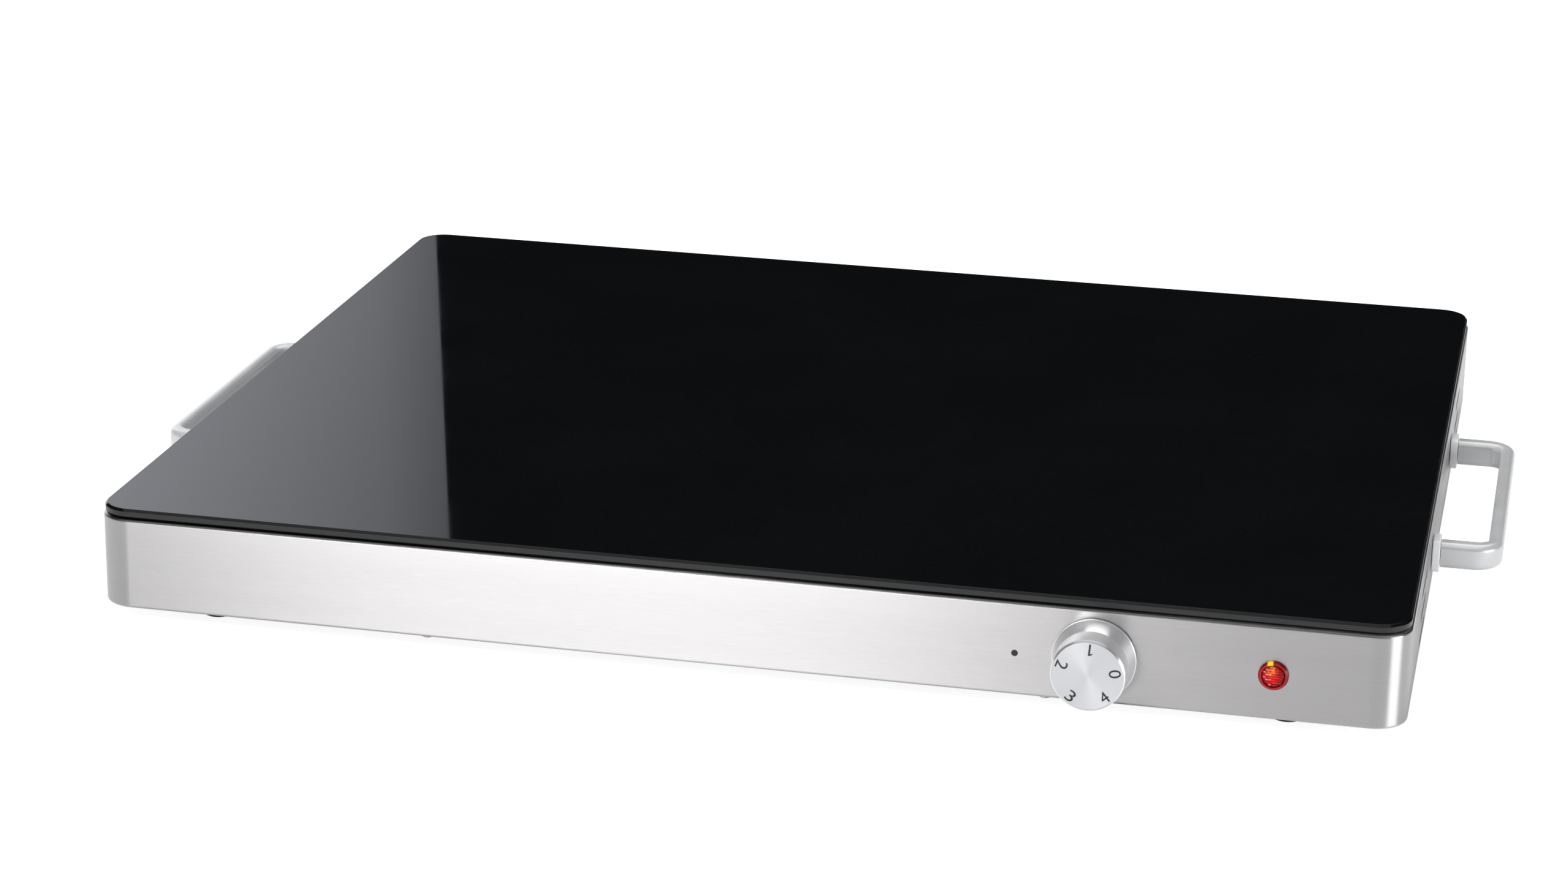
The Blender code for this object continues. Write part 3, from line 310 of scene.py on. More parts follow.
def tone_and_gloss(tree, start, shade, rough_shade):
    """Colour and roughness that follow a 0 to 1 pattern, between the group's own limits."""
    tone = node(tree, "Mix", {0: shade, 6: start.outputs["Dark"], 7: start.outputs["Light"]},
                data_type="RGBA")
    gloss = node(tree, "MapRange", {"Value": rough_shade, 3: start.outputs["Smooth"],
                                    4: start.outputs["Rough"]})
    return tone.outputs[2], gloss.outputs["Result"]


SURFACE_OUTPUTS = (("Color", "Color"), ("Roughness", "Float"), ("Height", "Float"))
SURFACE_LIMITS = (
    ("Dark", "Color", (0.4, 0.4, 0.4, 1.0)),
    ("Light", "Color", (0.6, 0.6, 0.6, 1.0)),
    ("Smooth", "Float", 0.25),
    ("Rough", "Float", 0.40),
)


# %% Drawn lines of a brushing belt
def build_drawn_grain():
    """Long fine lines: noise stretched along the brushing, with broad soft bands over it."""
    tree, start = new_group("drawn_grain", SURFACE_LIMITS + (
        ("Stretch", "Vector", (60.0, 60.0, 2500.0)),
        ("Bands", "Vector", (3.0, 3.0, 60.0)),
    ), SURFACE_OUTPUTS)
    where = node(tree, "TexCoord").outputs["Object"]
    fine_at = node(tree, "VectorMath", {0: where, 1: start.outputs["Stretch"]},
                   operation="MULTIPLY")
    fine = node(tree, "TexNoise", {"Vector": fine_at.outputs[0], "Scale": 1.0, "Detail": 5.0,
                                   "Roughness": 0.65})
    broad_at = node(tree, "VectorMath", {0: where, 1: start.outputs["Bands"]},
                    operation="MULTIPLY")
    broad = node(tree, "TexNoise", {"Vector": broad_at.outputs[0], "Scale": 1.0, "Detail": 2.0})
    fine_shade = node(tree, "MapRange", {"Value": fine.outputs["Fac"], 1: 0.30, 2: 0.70})
    broad_shade = node(tree, "MapRange", {"Value": broad.outputs["Fac"], 1: 0.35, 2: 0.65})
    shade = node(tree, "Mix", {0: 0.35, 2: fine_shade.outputs[0], 3: broad_shade.outputs[0]})
    color, roughness = tone_and_gloss(tree, start, shade.outputs[0], fine_shade.outputs[0])
    return finish_group(tree, {"Color": color, "Roughness": roughness,
                               "Height": fine.outputs["Fac"]})


drawn_grain = build_drawn_grain()
print("group", drawn_grain.name)


# %% Rings of a lathe
def build_lathe_rings():
    """Fine rings about the piece's own Z: noise read by radius and height only."""
    tree, start = new_group("lathe_rings", SURFACE_LIMITS + (
        ("Lines", "Float", 4000.0),
    ), SURFACE_OUTPUTS)
    where = node(tree, "TexCoord").outputs["Object"]
    flat = node(tree, "VectorMath", {0: where, 1: (1.0, 1.0, 0.0)}, operation="MULTIPLY")
    radius = node(tree, "VectorMath", {0: flat.outputs[0]}, operation="LENGTH")
    height = node(tree, "SeparateXYZ", {0: where})
    ring_at = node(tree, "CombineXYZ", {0: radius.outputs["Value"], 1: height.outputs[2]})
    spread = node(tree, "VectorMath", {0: ring_at.outputs[0], "Scale": start.outputs["Lines"]},
                  operation="SCALE")
    rings = node(tree, "TexNoise", {"Vector": spread.outputs[0], "Scale": 1.0, "Detail": 4.0,
                                    "Roughness": 0.6})
    shade = node(tree, "MapRange", {"Value": rings.outputs["Fac"], 1: 0.30, 2: 0.70})
    color, roughness = tone_and_gloss(tree, start, shade.outputs[0], shade.outputs[0])
    return finish_group(tree, {"Color": color, "Roughness": roughness,
                               "Height": rings.outputs["Fac"]})


lathe_rings = build_lathe_rings()
print("group", lathe_rings.name)


# %% Fine texture of moulded and painted parts
def build_fine_texture():
    """Fine pebble of a mould or a sprayed coat, with slow changes of tone."""
    tree, start = new_group("fine_texture", SURFACE_LIMITS + (
        ("Grain", "Float", 1500.0),
        ("Patches", "Float", 40.0),
    ), SURFACE_OUTPUTS)
    where = node(tree, "TexCoord").outputs["Object"]
    grain = node(tree, "TexNoise", {"Vector": where, "Scale": start.outputs["Grain"],
                                    "Detail": 3.0, "Roughness": 0.6})
    patches = node(tree, "TexNoise", {"Vector": where, "Scale": start.outputs["Patches"],
                                      "Detail": 3.0})
    grain_shade = node(tree, "MapRange", {"Value": grain.outputs["Fac"], 1: 0.30, 2: 0.70})
    patch_shade = node(tree, "MapRange", {"Value": patches.outputs["Fac"], 1: 0.35, 2: 0.65})
    shade = node(tree, "Mix", {0: 0.5, 2: grain_shade.outputs[0], 3: patch_shade.outputs[0]})
    color, roughness = tone_and_gloss(tree, start, shade.outputs[0], patch_shade.outputs[0])
    return finish_group(tree, {"Color": color, "Roughness": roughness,
                               "Height": grain.outputs["Fac"]})


fine_texture = build_fine_texture()
print("group", fine_texture.name)


# %% Dust that settles on what faces up
def build_settled_dust():
    """Mask of fine specks and faint wiped smears, only where the surface faces up."""
    tree, start = new_group("settled_dust", (
        ("Amount", "Float", 0.5),
        ("Speck Scale", "Float", 900.0),
    ), (("Mask", "Float"), ("Smear", "Float")))
    where = node(tree, "TexCoord").outputs["Object"]
    facing = node(tree, "SeparateXYZ", {0: node(tree, "NewGeometry").outputs["Normal"]})
    upward = node(tree, "MapRange", {"Value": facing.outputs[2], 1: 0.6, 2: 0.95})
    specks = node(tree, "TexNoise", {"Vector": where, "Scale": start.outputs["Speck Scale"],
                                     "Detail": 2.0})
    sharp = node(tree, "MapRange", {"Value": specks.outputs["Fac"], 1: 0.66, 2: 0.74})
    wiped_at = node(tree, "VectorMath", {0: where, 1: (6.0, 22.0, 6.0)}, operation="MULTIPLY")
    wiped = node(tree, "TexNoise", {"Vector": wiped_at.outputs[0], "Scale": 1.0, "Detail": 4.0,
                                    "Roughness": 0.55, "Distortion": 0.6})
    smear = node(tree, "MapRange", {"Value": wiped.outputs["Fac"], 1: 0.42, 2: 0.70})
    on_top = node(tree, "Math", {0: upward.outputs[0], 1: start.outputs["Amount"]},
                  operation="MULTIPLY")
    mask = node(tree, "Math", {0: sharp.outputs[0], 1: on_top.outputs[0]}, operation="MULTIPLY")
    haze = node(tree, "Math", {0: smear.outputs[0], 1: on_top.outputs[0]}, operation="MULTIPLY")
    return finish_group(tree, {"Mask": mask.outputs[0], "Smear": haze.outputs[0]})


settled_dust = build_settled_dust()
print("group", settled_dust.name)


# %% Helper that dresses a material in one of the groups
def grey(value):
    """A neutral colour."""
    return (value, value, value, 1.0)


def dressed(name, group, values, metallic=0.0, bump=0.0, bump_depth=0.02 * MM, shader=None):
    """Material whose colour, roughness and bump come from a group. Gives material and shader."""
    made = bpy.data.materials.new(name)
    made.use_nodes = True
    tree = made.node_tree
    principled = tree.nodes["Principled BSDF"]
    principled.inputs["Metallic"].default_value = metallic
    for key, value in (shader or {}).items():
        principled.inputs[key].default_value = value
    effect = node(tree, "Group")
    effect.node_tree = group
    for key, value in values.items():
        effect.inputs[key].default_value = value
    tree.links.new(effect.outputs["Color"], principled.inputs["Base Color"])
    tree.links.new(effect.outputs["Roughness"], principled.inputs["Roughness"])
    if bump:
        relief = node(tree, "Bump", {"Height": effect.outputs["Height"], "Strength": bump,
                                     "Distance": bump_depth})
        tree.links.new(relief.outputs["Normal"], principled.inputs["Normal"])
    return made, principled


def brush_round_z(material, principled):
    """Stretch highlights across lines that run round the piece's Z, as brushed metal does."""
    direction = node(material.node_tree, "Tangent", direction_type="RADIAL", axis="Z")
    material.node_tree.links.new(direction.outputs[0], principled.inputs["Tangent"])


# %% [markdown]
# ## Studio
# The floor is plain and pale. Above it are a broad soft sun and two dim soft boxes. Round the
# table stand glowing cards: brushed metal and black glass show little of their own, so most of
# what is seen in them is the cards. Each card's glow changes across its width, which is what
# gives a wall of brushed steel its slow change from light to dark. The cards are
# hidden from the camera, and the floor glows a little for the camera alone, as a light table
# does, so that no shadow spoils the outline.


# %% Floor
def flat_sheet(name, size_x, size_y, cells=8):
    """Flat grid of faces in its own XY plane."""
    bm = bmesh.new()
    bmesh.ops.create_grid(bm, x_segments=cells, y_segments=cells, size=0.5)
    mesh = bpy.data.meshes.new(name)
    bm.to_mesh(mesh)
    bm.free()
    mesh.transform(Matrix.Diagonal((size_x, size_y, 1.0, 1.0)))
    return mesh


FLOOR_SIZE = 16.0
FLOOR_GLOW = 0.85
floor = linked("studio_floor", flat_sheet("studio_floor", FLOOR_SIZE, FLOOR_SIZE))
floor_finish, floor_shader = dressed("pale_floor", fine_texture, {
    "Dark": grey(0.84), "Light": grey(0.86), "Smooth": 0.9, "Rough": 0.95,
    "Grain": 400.0, "Patches": 2.0})
floor_shader.inputs["Specular IOR Level"].default_value = 0.0
floor_shader.inputs["Emission Color"].default_value = grey(1.0)
glow_ray = node(floor_finish.node_tree, "LightPath")
seen_glow = node(floor_finish.node_tree, "Math", {0: glow_ray.outputs["Is Camera Ray"],
                                                  1: FLOOR_GLOW}, operation="MULTIPLY")
floor_finish.node_tree.links.new(seen_glow.outputs[0], floor_shader.inputs["Emission Strength"])
floor.data.materials.append(floor_finish)
print("floor", FLOOR_SIZE, "m wide")

# %% Surroundings
WORLD_SEEN = 1.0
WORLD_FILL = 0.35
WORLD_REFLECTED = 0.012
world = bpy.data.worlds.new("studio_world")
bpy.context.scene.world = world
world.use_nodes = True
sky = world.node_tree
ray = node(sky, "LightPath")
seen = node(sky, "Math", {0: ray.outputs["Is Camera Ray"], 1: WORLD_SEEN}, operation="MULTIPLY")
fill = node(sky, "Math", {0: ray.outputs["Is Diffuse Ray"], 1: WORLD_FILL, 2: seen.outputs[0]},
            operation="MULTIPLY_ADD")
level = node(sky, "Math", {0: fill.outputs[0], 1: WORLD_REFLECTED})
sky.links.new(level.outputs[0], sky.nodes["Background"].inputs["Strength"])
bpy.context.scene.view_settings.view_transform = "Standard"


# %% Lights
def soft_light(name, power, width, height, position, aim):
    """Rectangular studio light at a place, turned to a point and hidden from the camera."""
    data = bpy.data.lights.new(name, "AREA")
    data.shape = "RECTANGLE"
    data.energy = power
    data.size = width
    data.size_y = height
    lamp = linked(name, data)
    lamp.location = position
    lamp.rotation_euler = (Vector(aim) - Vector(position)).to_track_quat("-Z", "Y").to_euler()
    lamp.visible_camera = False


SUN_POWER = 3.1
SUN_SPREAD = math.radians(55)
SUN_HEADING = Vector((0.45, 0.55, -1.6))
sun_data = bpy.data.lights.new("key_sun", "SUN")
sun_data.energy = SUN_POWER
sun_data.angle = SUN_SPREAD
sun = linked("key_sun", sun_data)
sun.rotation_euler = SUN_HEADING.to_track_quat("-Z", "Y").to_euler()
sun.visible_glossy = False
soft_light("overhead_box", 13, 3.0, 3.0, (0.0, -0.2, 2.2), (0.0, 0.0, 0.0))


# %% Glowing cards
def glow_card(name, width, height, middle, heading, lean, strength, tint, stops, eased=True):
    """Upright card. Its glow follows (place, level) stops from its left edge to its right."""
    card = linked(name, flat_sheet(name, width, height, 1))
    card.location = (middle[0], middle[1], height / 2)
    card.rotation_euler = (math.pi / 2, lean, heading)
    glow = bpy.data.materials.new(name)
    glow.use_nodes = True
    tree = glow.node_tree
    tree.nodes.clear()
    across = node(tree, "SeparateXYZ", {0: node(tree, "TexCoord").outputs["Generated"]})
    level = node(tree, "ValToRGB", {"Fac": across.outputs[0]})
    level.color_ramp.interpolation = "EASE" if eased else "LINEAR"
    while len(level.color_ramp.elements) < len(stops):
        level.color_ramp.elements.new(0.5)
    for stop, (spot, amount) in zip(level.color_ramp.elements, stops):
        stop.position = spot
        stop.color = tuple(amount * share for share in tint) + (1.0,)
    light = node(tree, "Emission", {"Color": level.outputs["Color"], "Strength": strength})
    end = node(tree, "OutputMaterial")
    tree.links.new(light.outputs[0], end.inputs["Surface"])
    card.data.materials.append(glow)
    card.visible_camera = False


CARD_EDGE = Vector((-0.8365, 2.0))
CARD_WIDTH = 2.4
CARD_HEIGHT = 2.4
CARD_LEAN = 0.0306
FRONT_CARD_HEIGHT = 0.48
RIGHT_CARD_HEIGHT = 0.36
glow_card("left_card", CARD_WIDTH, CARD_HEIGHT,
          (CARD_EDGE.x - CARD_WIDTH / 2, CARD_EDGE.y), 0.0, CARD_LEAN, 2.7, (0.905, 0.93, 1.0),
          ((0.0, 0.60), (0.83, 0.47), (0.97, 0.25), (1.0, 0.16)), eased=False)
glow_card("front_card", 1.10, FRONT_CARD_HEIGHT, (-0.69, -2.75), 0.0, 0.0, 14.0, (1.0, 1.0, 1.0),
          ((0.0, 0.0), (0.15, 1.0), (0.83, 1.0), (1.0, 0.0)))
glow_card("right_card", 1.3, RIGHT_CARD_HEIGHT, (1.72, -0.74), math.radians(68), 0.0, 13.0,
          (0.97, 0.98, 1.0),
          ((0.0, 0.0), (0.3, 1.0), (0.7, 1.0), (1.0, 0.0)))
soft_light("rear_top_box", 22, 2.4, 1.6, (0.2, 1.5, 2.6), (0.1, -0.2, 0.05))

# %% [markdown]
# ## Black glass top
# The plate is a single sheet of black tempered glass. After cutting, a wheel grinds a small
# flat, the arris, along each edge so that it can't chip or cut. The section line is that flat
# with its two edges just broken, carried round the rounded outline.

# %% Glass mesh
GLASS_CORNER = 15.0 * MM
GLASS_ARRIS = 1.1 * MM
GLASS_EDGE_BREAK = 0.18 * MM


def glass_mesh():
    """Rings from the underside, round the ground edge, to the top."""
    low, high = glass_low.z, glass_high.z
    margin = 4 * MM
    section = soften([(margin, low), (GLASS_ARRIS, low), (0, low + GLASS_ARRIS),
                      (0, high - GLASS_ARRIS), (GLASS_ARRIS, high), (margin, high)],
                     GLASS_EDGE_BREAK, 3)
    half_x, half_y = (glass_high.x - glass_low.x) / 2, (glass_high.y - glass_low.y) / 2
    return loft("glass_top_fine",
                rounded_rings(section, half_x, half_y, GLASS_CORNER, glass_middle, 16))


# %% Glass finish
GROUND_EDGE_ROUGH = 0.30


def glass_finish():
    """Polished black glass with faint wiped smears and a few specks of dust."""
    made, shader = dressed("polished_black_glass", fine_texture, {
        "Dark": (0.0032, 0.0036, 0.0040, 1.0), "Light": (0.0044, 0.0048, 0.0052, 1.0),
        "Smooth": 0.018, "Rough": 0.035, "Grain": 300.0, "Patches": 14.0})
    tree = made.node_tree
    dust = node(tree, "Group")
    dust.node_tree = settled_dust
    dust.inputs["Amount"].default_value = 0.12
    dust.inputs["Speck Scale"].default_value = 1400.0
    base = shader.inputs["Base Color"].links[0].from_socket
    gloss = shader.inputs["Roughness"].links[0].from_socket
    dusty = node(tree, "Mix", {0: dust.outputs["Mask"], 6: base, 7: (0.05, 0.05, 0.048, 1.0)},
                 data_type="RGBA")
    hazy = node(tree, "Math", {0: dust.outputs["Smear"], 1: 0.05, 2: gloss},
                operation="MULTIPLY_ADD")
    slant = node(tree, "SeparateXYZ", {0: node(tree, "NewGeometry").outputs["Normal"]})
    ground = node(tree, "MapRange", {"Value": slant.outputs[2], 1: 0.9, 2: 0.2,
                                     3: 0.0, 4: GROUND_EDGE_ROUGH})
    hazy = node(tree, "Math", {0: hazy.outputs[0], 1: ground.outputs[0]})
    tree.links.new(dusty.outputs[2], shader.inputs["Base Color"])
    tree.links.new(hazy.outputs[0], shader.inputs["Roughness"])
    return made


place("glass_plate", glass_mesh(), glass_finish(), "case", ["glass_top"])

# %% [markdown]
# ## Brushed steel surround
# The surround is one strip of stainless sheet, folded in at the top to carry the glass and in at
# the bottom to take the base plate, then welded to a ring. Its outside was brushed along its
# length before folding, so every line is level. The section is the folded sheet itself, and the
# holes are punched with one boolean.

# %% Surround mesh
SHEET = 0.8 * MM
HOUSING_CORNER = 15.8 * MM
FLANGE_WIDTH = 12.0 * MM
TOP_LIP = 3.0 * MM
TOP_BEND = 2.0 * MM
BOTTOM_BEND = 1.2 * MM
FLANGE_DROP = 1.2 * MM
VENT_LENGTH = 37.0 * MM
VENT_HEIGHT = 3.0 * MM
VENT_PITCH = 11.6 * MM
VENT_OFFSET = 142.0 * MM
VENT_DROP = 3.2 * MM
DRAIN_DIAMETER = 2.0 * MM
DRAIN_OFFSET = 46.0 * MM
DRAIN_RISE = 5.7 * MM
KNOB_HOLE = 10.0 * MM
LAMP_HOLE = 11.0 * MM
GLAND_HOLE = 11.8 * MM
housing_middle = (housing_low + housing_high) / 2


def housing_section():
    """Section of the folded sheet: along its outside, then back along its inside."""
    foot, rim = housing_low.z, housing_high.z
    ledge = rim - FLANGE_DROP
    outside = [(FLANGE_WIDTH, foot), (0, foot), (0, rim), (TOP_LIP, rim),
               (TOP_LIP + FLANGE_DROP, ledge), (FLANGE_WIDTH, ledge)]
    mitre = SHEET * math.tan(math.pi / 8)
    inside = [(FLANGE_WIDTH, ledge - SHEET), (TOP_LIP + FLANGE_DROP - mitre, ledge - SHEET),
              (TOP_LIP - mitre, rim - SHEET), (SHEET, rim - SHEET), (SHEET, foot + SHEET),
              (FLANGE_WIDTH, foot + SHEET)]
    return bend_line(outside, BOTTOM_BEND, TOP_BEND) + bend_line(
        inside, TOP_BEND - SHEET, BOTTOM_BEND - SHEET)


def bend_line(points, first_bend, second_bend):
    """Round a six-point line's folds: the two big ones by name, the small ledge folds tightly."""
    tight = 0.3 * MM
    if points[1][0] < SHEET:
        radii = (first_bend, second_bend, tight, tight)
    else:
        radii = (tight, tight, first_bend, second_bend)
    line = [points[0]]
    for index, radius in enumerate(radii, start=1):
        line += soften([points[index - 1], points[index], points[index + 1]], radius, 6)[1:-1]
    return line + [points[-1]]


def housing_blank():
    """The folded ring before punching."""
    half_x = (housing_high.x - housing_low.x) / 2
    half_y = (housing_high.y - housing_low.y) / 2
    rings = rounded_rings(housing_section(), half_x, half_y, HOUSING_CORNER, housing_middle, 16)
    return loft("housing_fine", rings, looped=True)


# %% Punched holes
def stadium_tool(length, height, depth):
    """Slot cutter: long way along X, cut along Z."""
    outline = rounded_rectangle(length / 2, height / 2, height / 2 * 0.999, steps=8, guard=0.0)
    unique = [point for index, point in enumerate(outline)
              if (Vector(point) - Vector(outline[index - 1])).length > 1e-7]
    return loft("tool", [[(x, y, z) for x, y in unique] for z in (-depth / 2, depth / 2)])


def round_tool(diameter, depth, sides=48):
    """Round cutter along Z."""
    rings = [[(x, y, z) for x, y in circle(diameter / 2, sides)] for z in (-depth / 2, depth / 2)]
    return loft("tool", rings)


def facing(axis, side, location):
    """Matrix that puts a tool's Z along an axis and its X level along the wall."""
    turn = Matrix.Rotation(math.pi / 2, 4, "X")
    if axis == "X":
        turn = Matrix.Rotation(side * math.pi / 2, 4, "Z") @ turn
    return Matrix.Translation(location) @ turn


knob_low, knob_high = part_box("knob")
lens_low, lens_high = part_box("lamp_lens")
gland_low, gland_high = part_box("cord_gland")
knob_middle = (knob_low + knob_high) / 2
lens_middle = (lens_low + lens_high) / 2
gland_middle = (gland_low + gland_high) / 2
front_y, rear_y = housing_low.y, housing_high.y
wall_middle_z = (housing_low.z + housing_high.z) / 2


def housing_tools():
    """Every punch of the surround: vents, drains, and holes for knob, lamp and gland."""
    depth = 6 * SHEET
    tools = []
    for side, x in ((-1, housing_low.x), (1, housing_high.x)):
        for end in (-1, 1):
            for row in (-1, 0, 1):
                spot = (x, housing_middle.y + end * VENT_OFFSET,
                        wall_middle_z - VENT_DROP + row * VENT_PITCH)
                tools.append(moved(stadium_tool(VENT_LENGTH, VENT_HEIGHT, depth),
                                   facing("X", side, spot)))
        drain = (x, housing_middle.y + DRAIN_OFFSET, wall_middle_z + DRAIN_RISE)
        tools.append(moved(round_tool(DRAIN_DIAMETER, depth), facing("X", side, drain)))
    for middle, diameter, y in ((knob_middle, KNOB_HOLE, front_y),
                                (lens_middle, LAMP_HOLE, front_y),
                                (gland_middle, GLAND_HOLE, rear_y)):
        spot = (middle.x, y, middle.z)
        tools.append(moved(round_tool(diameter, depth), facing("Y", 1, spot)))
    return tools


# %% Brushed steel finish
def steel_finish():
    """Stainless steel brushed level, with highlights pulled up and down across the lines."""
    made, shader = dressed("brushed_stainless", drawn_grain, {
        "Dark": (0.455, 0.446, 0.452, 1.0), "Light": (0.525, 0.515, 0.521, 1.0),
        "Smooth": 0.31, "Rough": 0.37, "Stretch": (120.0, 120.0, 3600.0),
        "Bands": (2.2, 2.2, 40.0)},
        metallic=1.0, bump=0.06, shader={"Anisotropic": 0.94, "Anisotropic Rotation": 0.25})
    brush_round_z(made, shader)
    return made


place("steel_surround", punched(housing_blank(), housing_tools()), steel_finish(),
      "case", ["housing"])

# %% [markdown]
# ## Turned knob
# The knob is turned from aluminium bar: a flat face with fine rings, a crisp bevel, a plain
# barrel, and a long cone that flares to a thin rim at the wall. Rings left by the tool pull every
# highlight out along the radius, which is what makes the bright wedges on its face. The figures
# 0 to 4 are printed dark, each with its top to the middle.

# %% Knob mesh
KNOB_FACE_RADIUS = 16.45 * MM
KNOB_SHOULDER = 10.5 * MM
KNOB_RIM = 1.4 * MM
KNOB_RIM_EDGE = 0.22 * MM
KNOB_BEVEL = 0.9 * MM
KNOB_WALL = 1.6 * MM
KNOB_FACE_THICKNESS = 3.0 * MM
KNOB_RECESS = 0.05 * MM
AXIS_GAP = 0.004 * MM
# Painted shade that makes the knob's face darker than its barrel and cone.
FACE_PAINTED_SHADE = (0.66, 0.665, 0.68, 1.0)


def knob_mesh():
    """Hollow turned shell in section about its axis, from the wall outwards."""
    standoff = front_y - knob_high.y
    reach = front_y - knob_low.y - KNOB_RECESS
    skirt = (knob_high.x - knob_low.x) / 2
    face, rim_top = KNOB_FACE_RADIUS, standoff + KNOB_RIM
    ceiling = reach - KNOB_FACE_THICKNESS
    outside = [(face - KNOB_WALL, standoff), (skirt, standoff), (skirt, rim_top),
               (skirt - KNOB_RIM_EDGE, rim_top + 0.02 * MM), (face, KNOB_SHOULDER),
               (face, reach - KNOB_BEVEL), (face - KNOB_BEVEL, reach), (AXIS_GAP, reach)]
    inside = [(AXIS_GAP, ceiling), (face - KNOB_WALL, ceiling)]
    return turned("knob_fine", soften(outside, 0.14 * MM, 3) + inside, 160, looped=True)


# %% Knob finish
def knob_finish():
    """Turned aluminium: rings about the axis, highlights drawn out along the radius, and painted
    shade on the face.
    """
    made, shader = dressed("turned_aluminium_fine", lathe_rings, {
        "Dark": (0.84, 0.84, 0.85, 1.0), "Light": (0.88, 0.88, 0.89, 1.0), "Smooth": 0.27,
        "Rough": 0.31, "Lines": 12000.0}, metallic=0.80, bump=0.015,
        shader={"Anisotropic": 0.60, "Anisotropic Rotation": 0.25})
    brush_round_z(made, shader)
    tree = made.node_tree
    # Painted shade: the face is multiplied darker than the rest of the same aluminium.
    height = node(tree, "SeparateXYZ", {0: node(tree, "TexCoord").outputs["Object"]})
    face_height = front_y - knob_low.y - KNOB_RECESS
    on_face = node(tree, "MapRange", {"Value": height.outputs[2], 1: face_height - 0.4 * MM,
                                      2: face_height - 0.2 * MM})
    rings = shader.inputs["Base Color"].links[0].from_socket
    face_painted_shade = node(tree, "Mix", {0: 1.0, 6: rings, 7: FACE_PAINTED_SHADE}, data_type="RGBA",
                blend_type="MULTIPLY")
    tone = node(tree, "Mix", {0: on_face.outputs[0], 6: rings, 7: face_painted_shade.outputs[2]},
                data_type="RGBA")
    tree.links.new(tone.outputs[2], shader.inputs["Base Color"])
    return made


knob_place = (knob_middle.x, front_y, knob_middle.z)
place("control_knob", knob_mesh(), knob_finish(), "knob", ["knob"],
      knob_place, FRONTWARDS)

# %% Ink
ink, _ = dressed("black_ink", fine_texture, {
    "Dark": grey(0.004), "Light": grey(0.010), "Smooth": 0.45, "Rough": 0.60,
    "Grain": 3000.0, "Patches": 200.0})

# %% Knob figures
FIRST_FIGURE_ANGLE = 10.1
FIGURE_STEP = 75.0
FIGURE_RADIUS = 12.1 * MM
FIGURE_HEIGHT = 5.3 * MM
FIGURE_WIDTH = 3.7 * MM
FIGURE_THICKNESS = 0.06 * MM
PLAIN_ONE = ((0.0, -0.5), (0.15, -0.5), (0.15, 0.5), (0.03, 0.5), (-0.20, 0.38), (-0.20, 0.26),
             (0.0, 0.35))


def one_mesh():
    """The figure 1: a stem with a slanted flag, drawn as one outline."""
    rings = [[((x + 0.03) * FIGURE_HEIGHT, y * FIGURE_HEIGHT, z) for x, y in PLAIN_ONE]
             for z in (-FIGURE_THICKNESS / 2, FIGURE_THICKNESS / 2)]
    return loft("figure_1", rings)


def figure_mesh(text):
    """One printed figure of the built-in font, centred, in its own XY plane."""
    if text == "1":
        return one_mesh()
    curve = bpy.data.curves.new("figure_" + text, "FONT")
    curve.body = text
    curve.extrude = FIGURE_THICKNESS / 2 / FIGURE_HEIGHT
    drawn = linked("figure_" + text, curve)
    shape = drawn.evaluated_get(bpy.context.evaluated_depsgraph_get())
    mesh = bpy.data.meshes.new_from_object(shape)
    bpy.data.objects.remove(drawn)
    low = Vector([min(vertex.co[axis] for vertex in mesh.vertices) for axis in range(3)])
    high = Vector([max(vertex.co[axis] for vertex in mesh.vertices) for axis in range(3)])
    mesh.transform(Matrix.Translation(-(low + high) / 2))
    span = high - low
    mesh.transform(Matrix.Diagonal((FIGURE_WIDTH / span.x, FIGURE_HEIGHT / span.y,
                                    FIGURE_THICKNESS / span.z, 1.0)))
    return mesh


figures = []
for number in range(5):
    lift = front_y - knob_low.y - KNOB_RECESS + 0.01 * MM
    at = math.radians(FIRST_FIGURE_ANGLE + FIGURE_STEP * number)
    spot = Vector((FIGURE_RADIUS * math.cos(at), FIGURE_RADIUS * math.sin(at), lift))
    turn = Matrix.Rotation(at + math.pi / 2, 4, "Z")
    figures.append(moved(figure_mesh(str(number)), Matrix.Translation(spot) @ turn))
place("knob_figures", joined("knob_figures", figures), ink, "knob", [],
      knob_place, FRONTWARDS)

# %% Index dot on the wall
DOT_OFFSET = Vector((-35.3 * MM, 0.0, -1.1 * MM))
dot_profile = soften([(0.05 * MM, -0.02 * MM), (1.5 * MM, -0.02 * MM), (1.5 * MM, 0.03 * MM),
                      (0.05 * MM, 0.03 * MM)], 0.01 * MM, 2)
place("index_dot", turned("index_dot", dot_profile, 48), ink, "case", [],
      Vector(knob_place) + DOT_OFFSET, FRONTWARDS)

# %% [markdown]
# ## Red pilot lamp
# The lens is moulded in clear red plastic and clips into the wall. A smooth raised rim runs round
# a sunken disc, and the disc is covered in rows of small slanted prisms that spread the light.
# The rim and disc are turned, and each prism is a small ridge of its own on the disc.


# %% Lamp mesh
LENS_STEM = 5.2 * MM
LENS_FLANGE = 0.3 * MM
PRISM_COLUMNS, PRISM_ROWS = 7, 8
PRISM_PITCH_X, PRISM_PITCH_Y = 1.40 * MM, 1.16 * MM
PRISM_FIELD = 4.35 * MM
DISC_TOP = 1.55 * MM


def prism(x, y, width, height, base, rise, lean):
    """Small ridge across the lens: its long upper side catches light, its short side is dark."""
    section = [(-0.5, -0.3 * MM), (-0.5, 0.0), (-0.1, rise), (0.5, 0.1 * rise), (0.5, -0.3 * MM)]
    rings = []
    for side in (-1, 1):
        edge = side * width / 2
        rings.append([(x + edge, y + share * height, base + z + lean * edge)
                      for share, z in section])
    return loft("prism", rings)


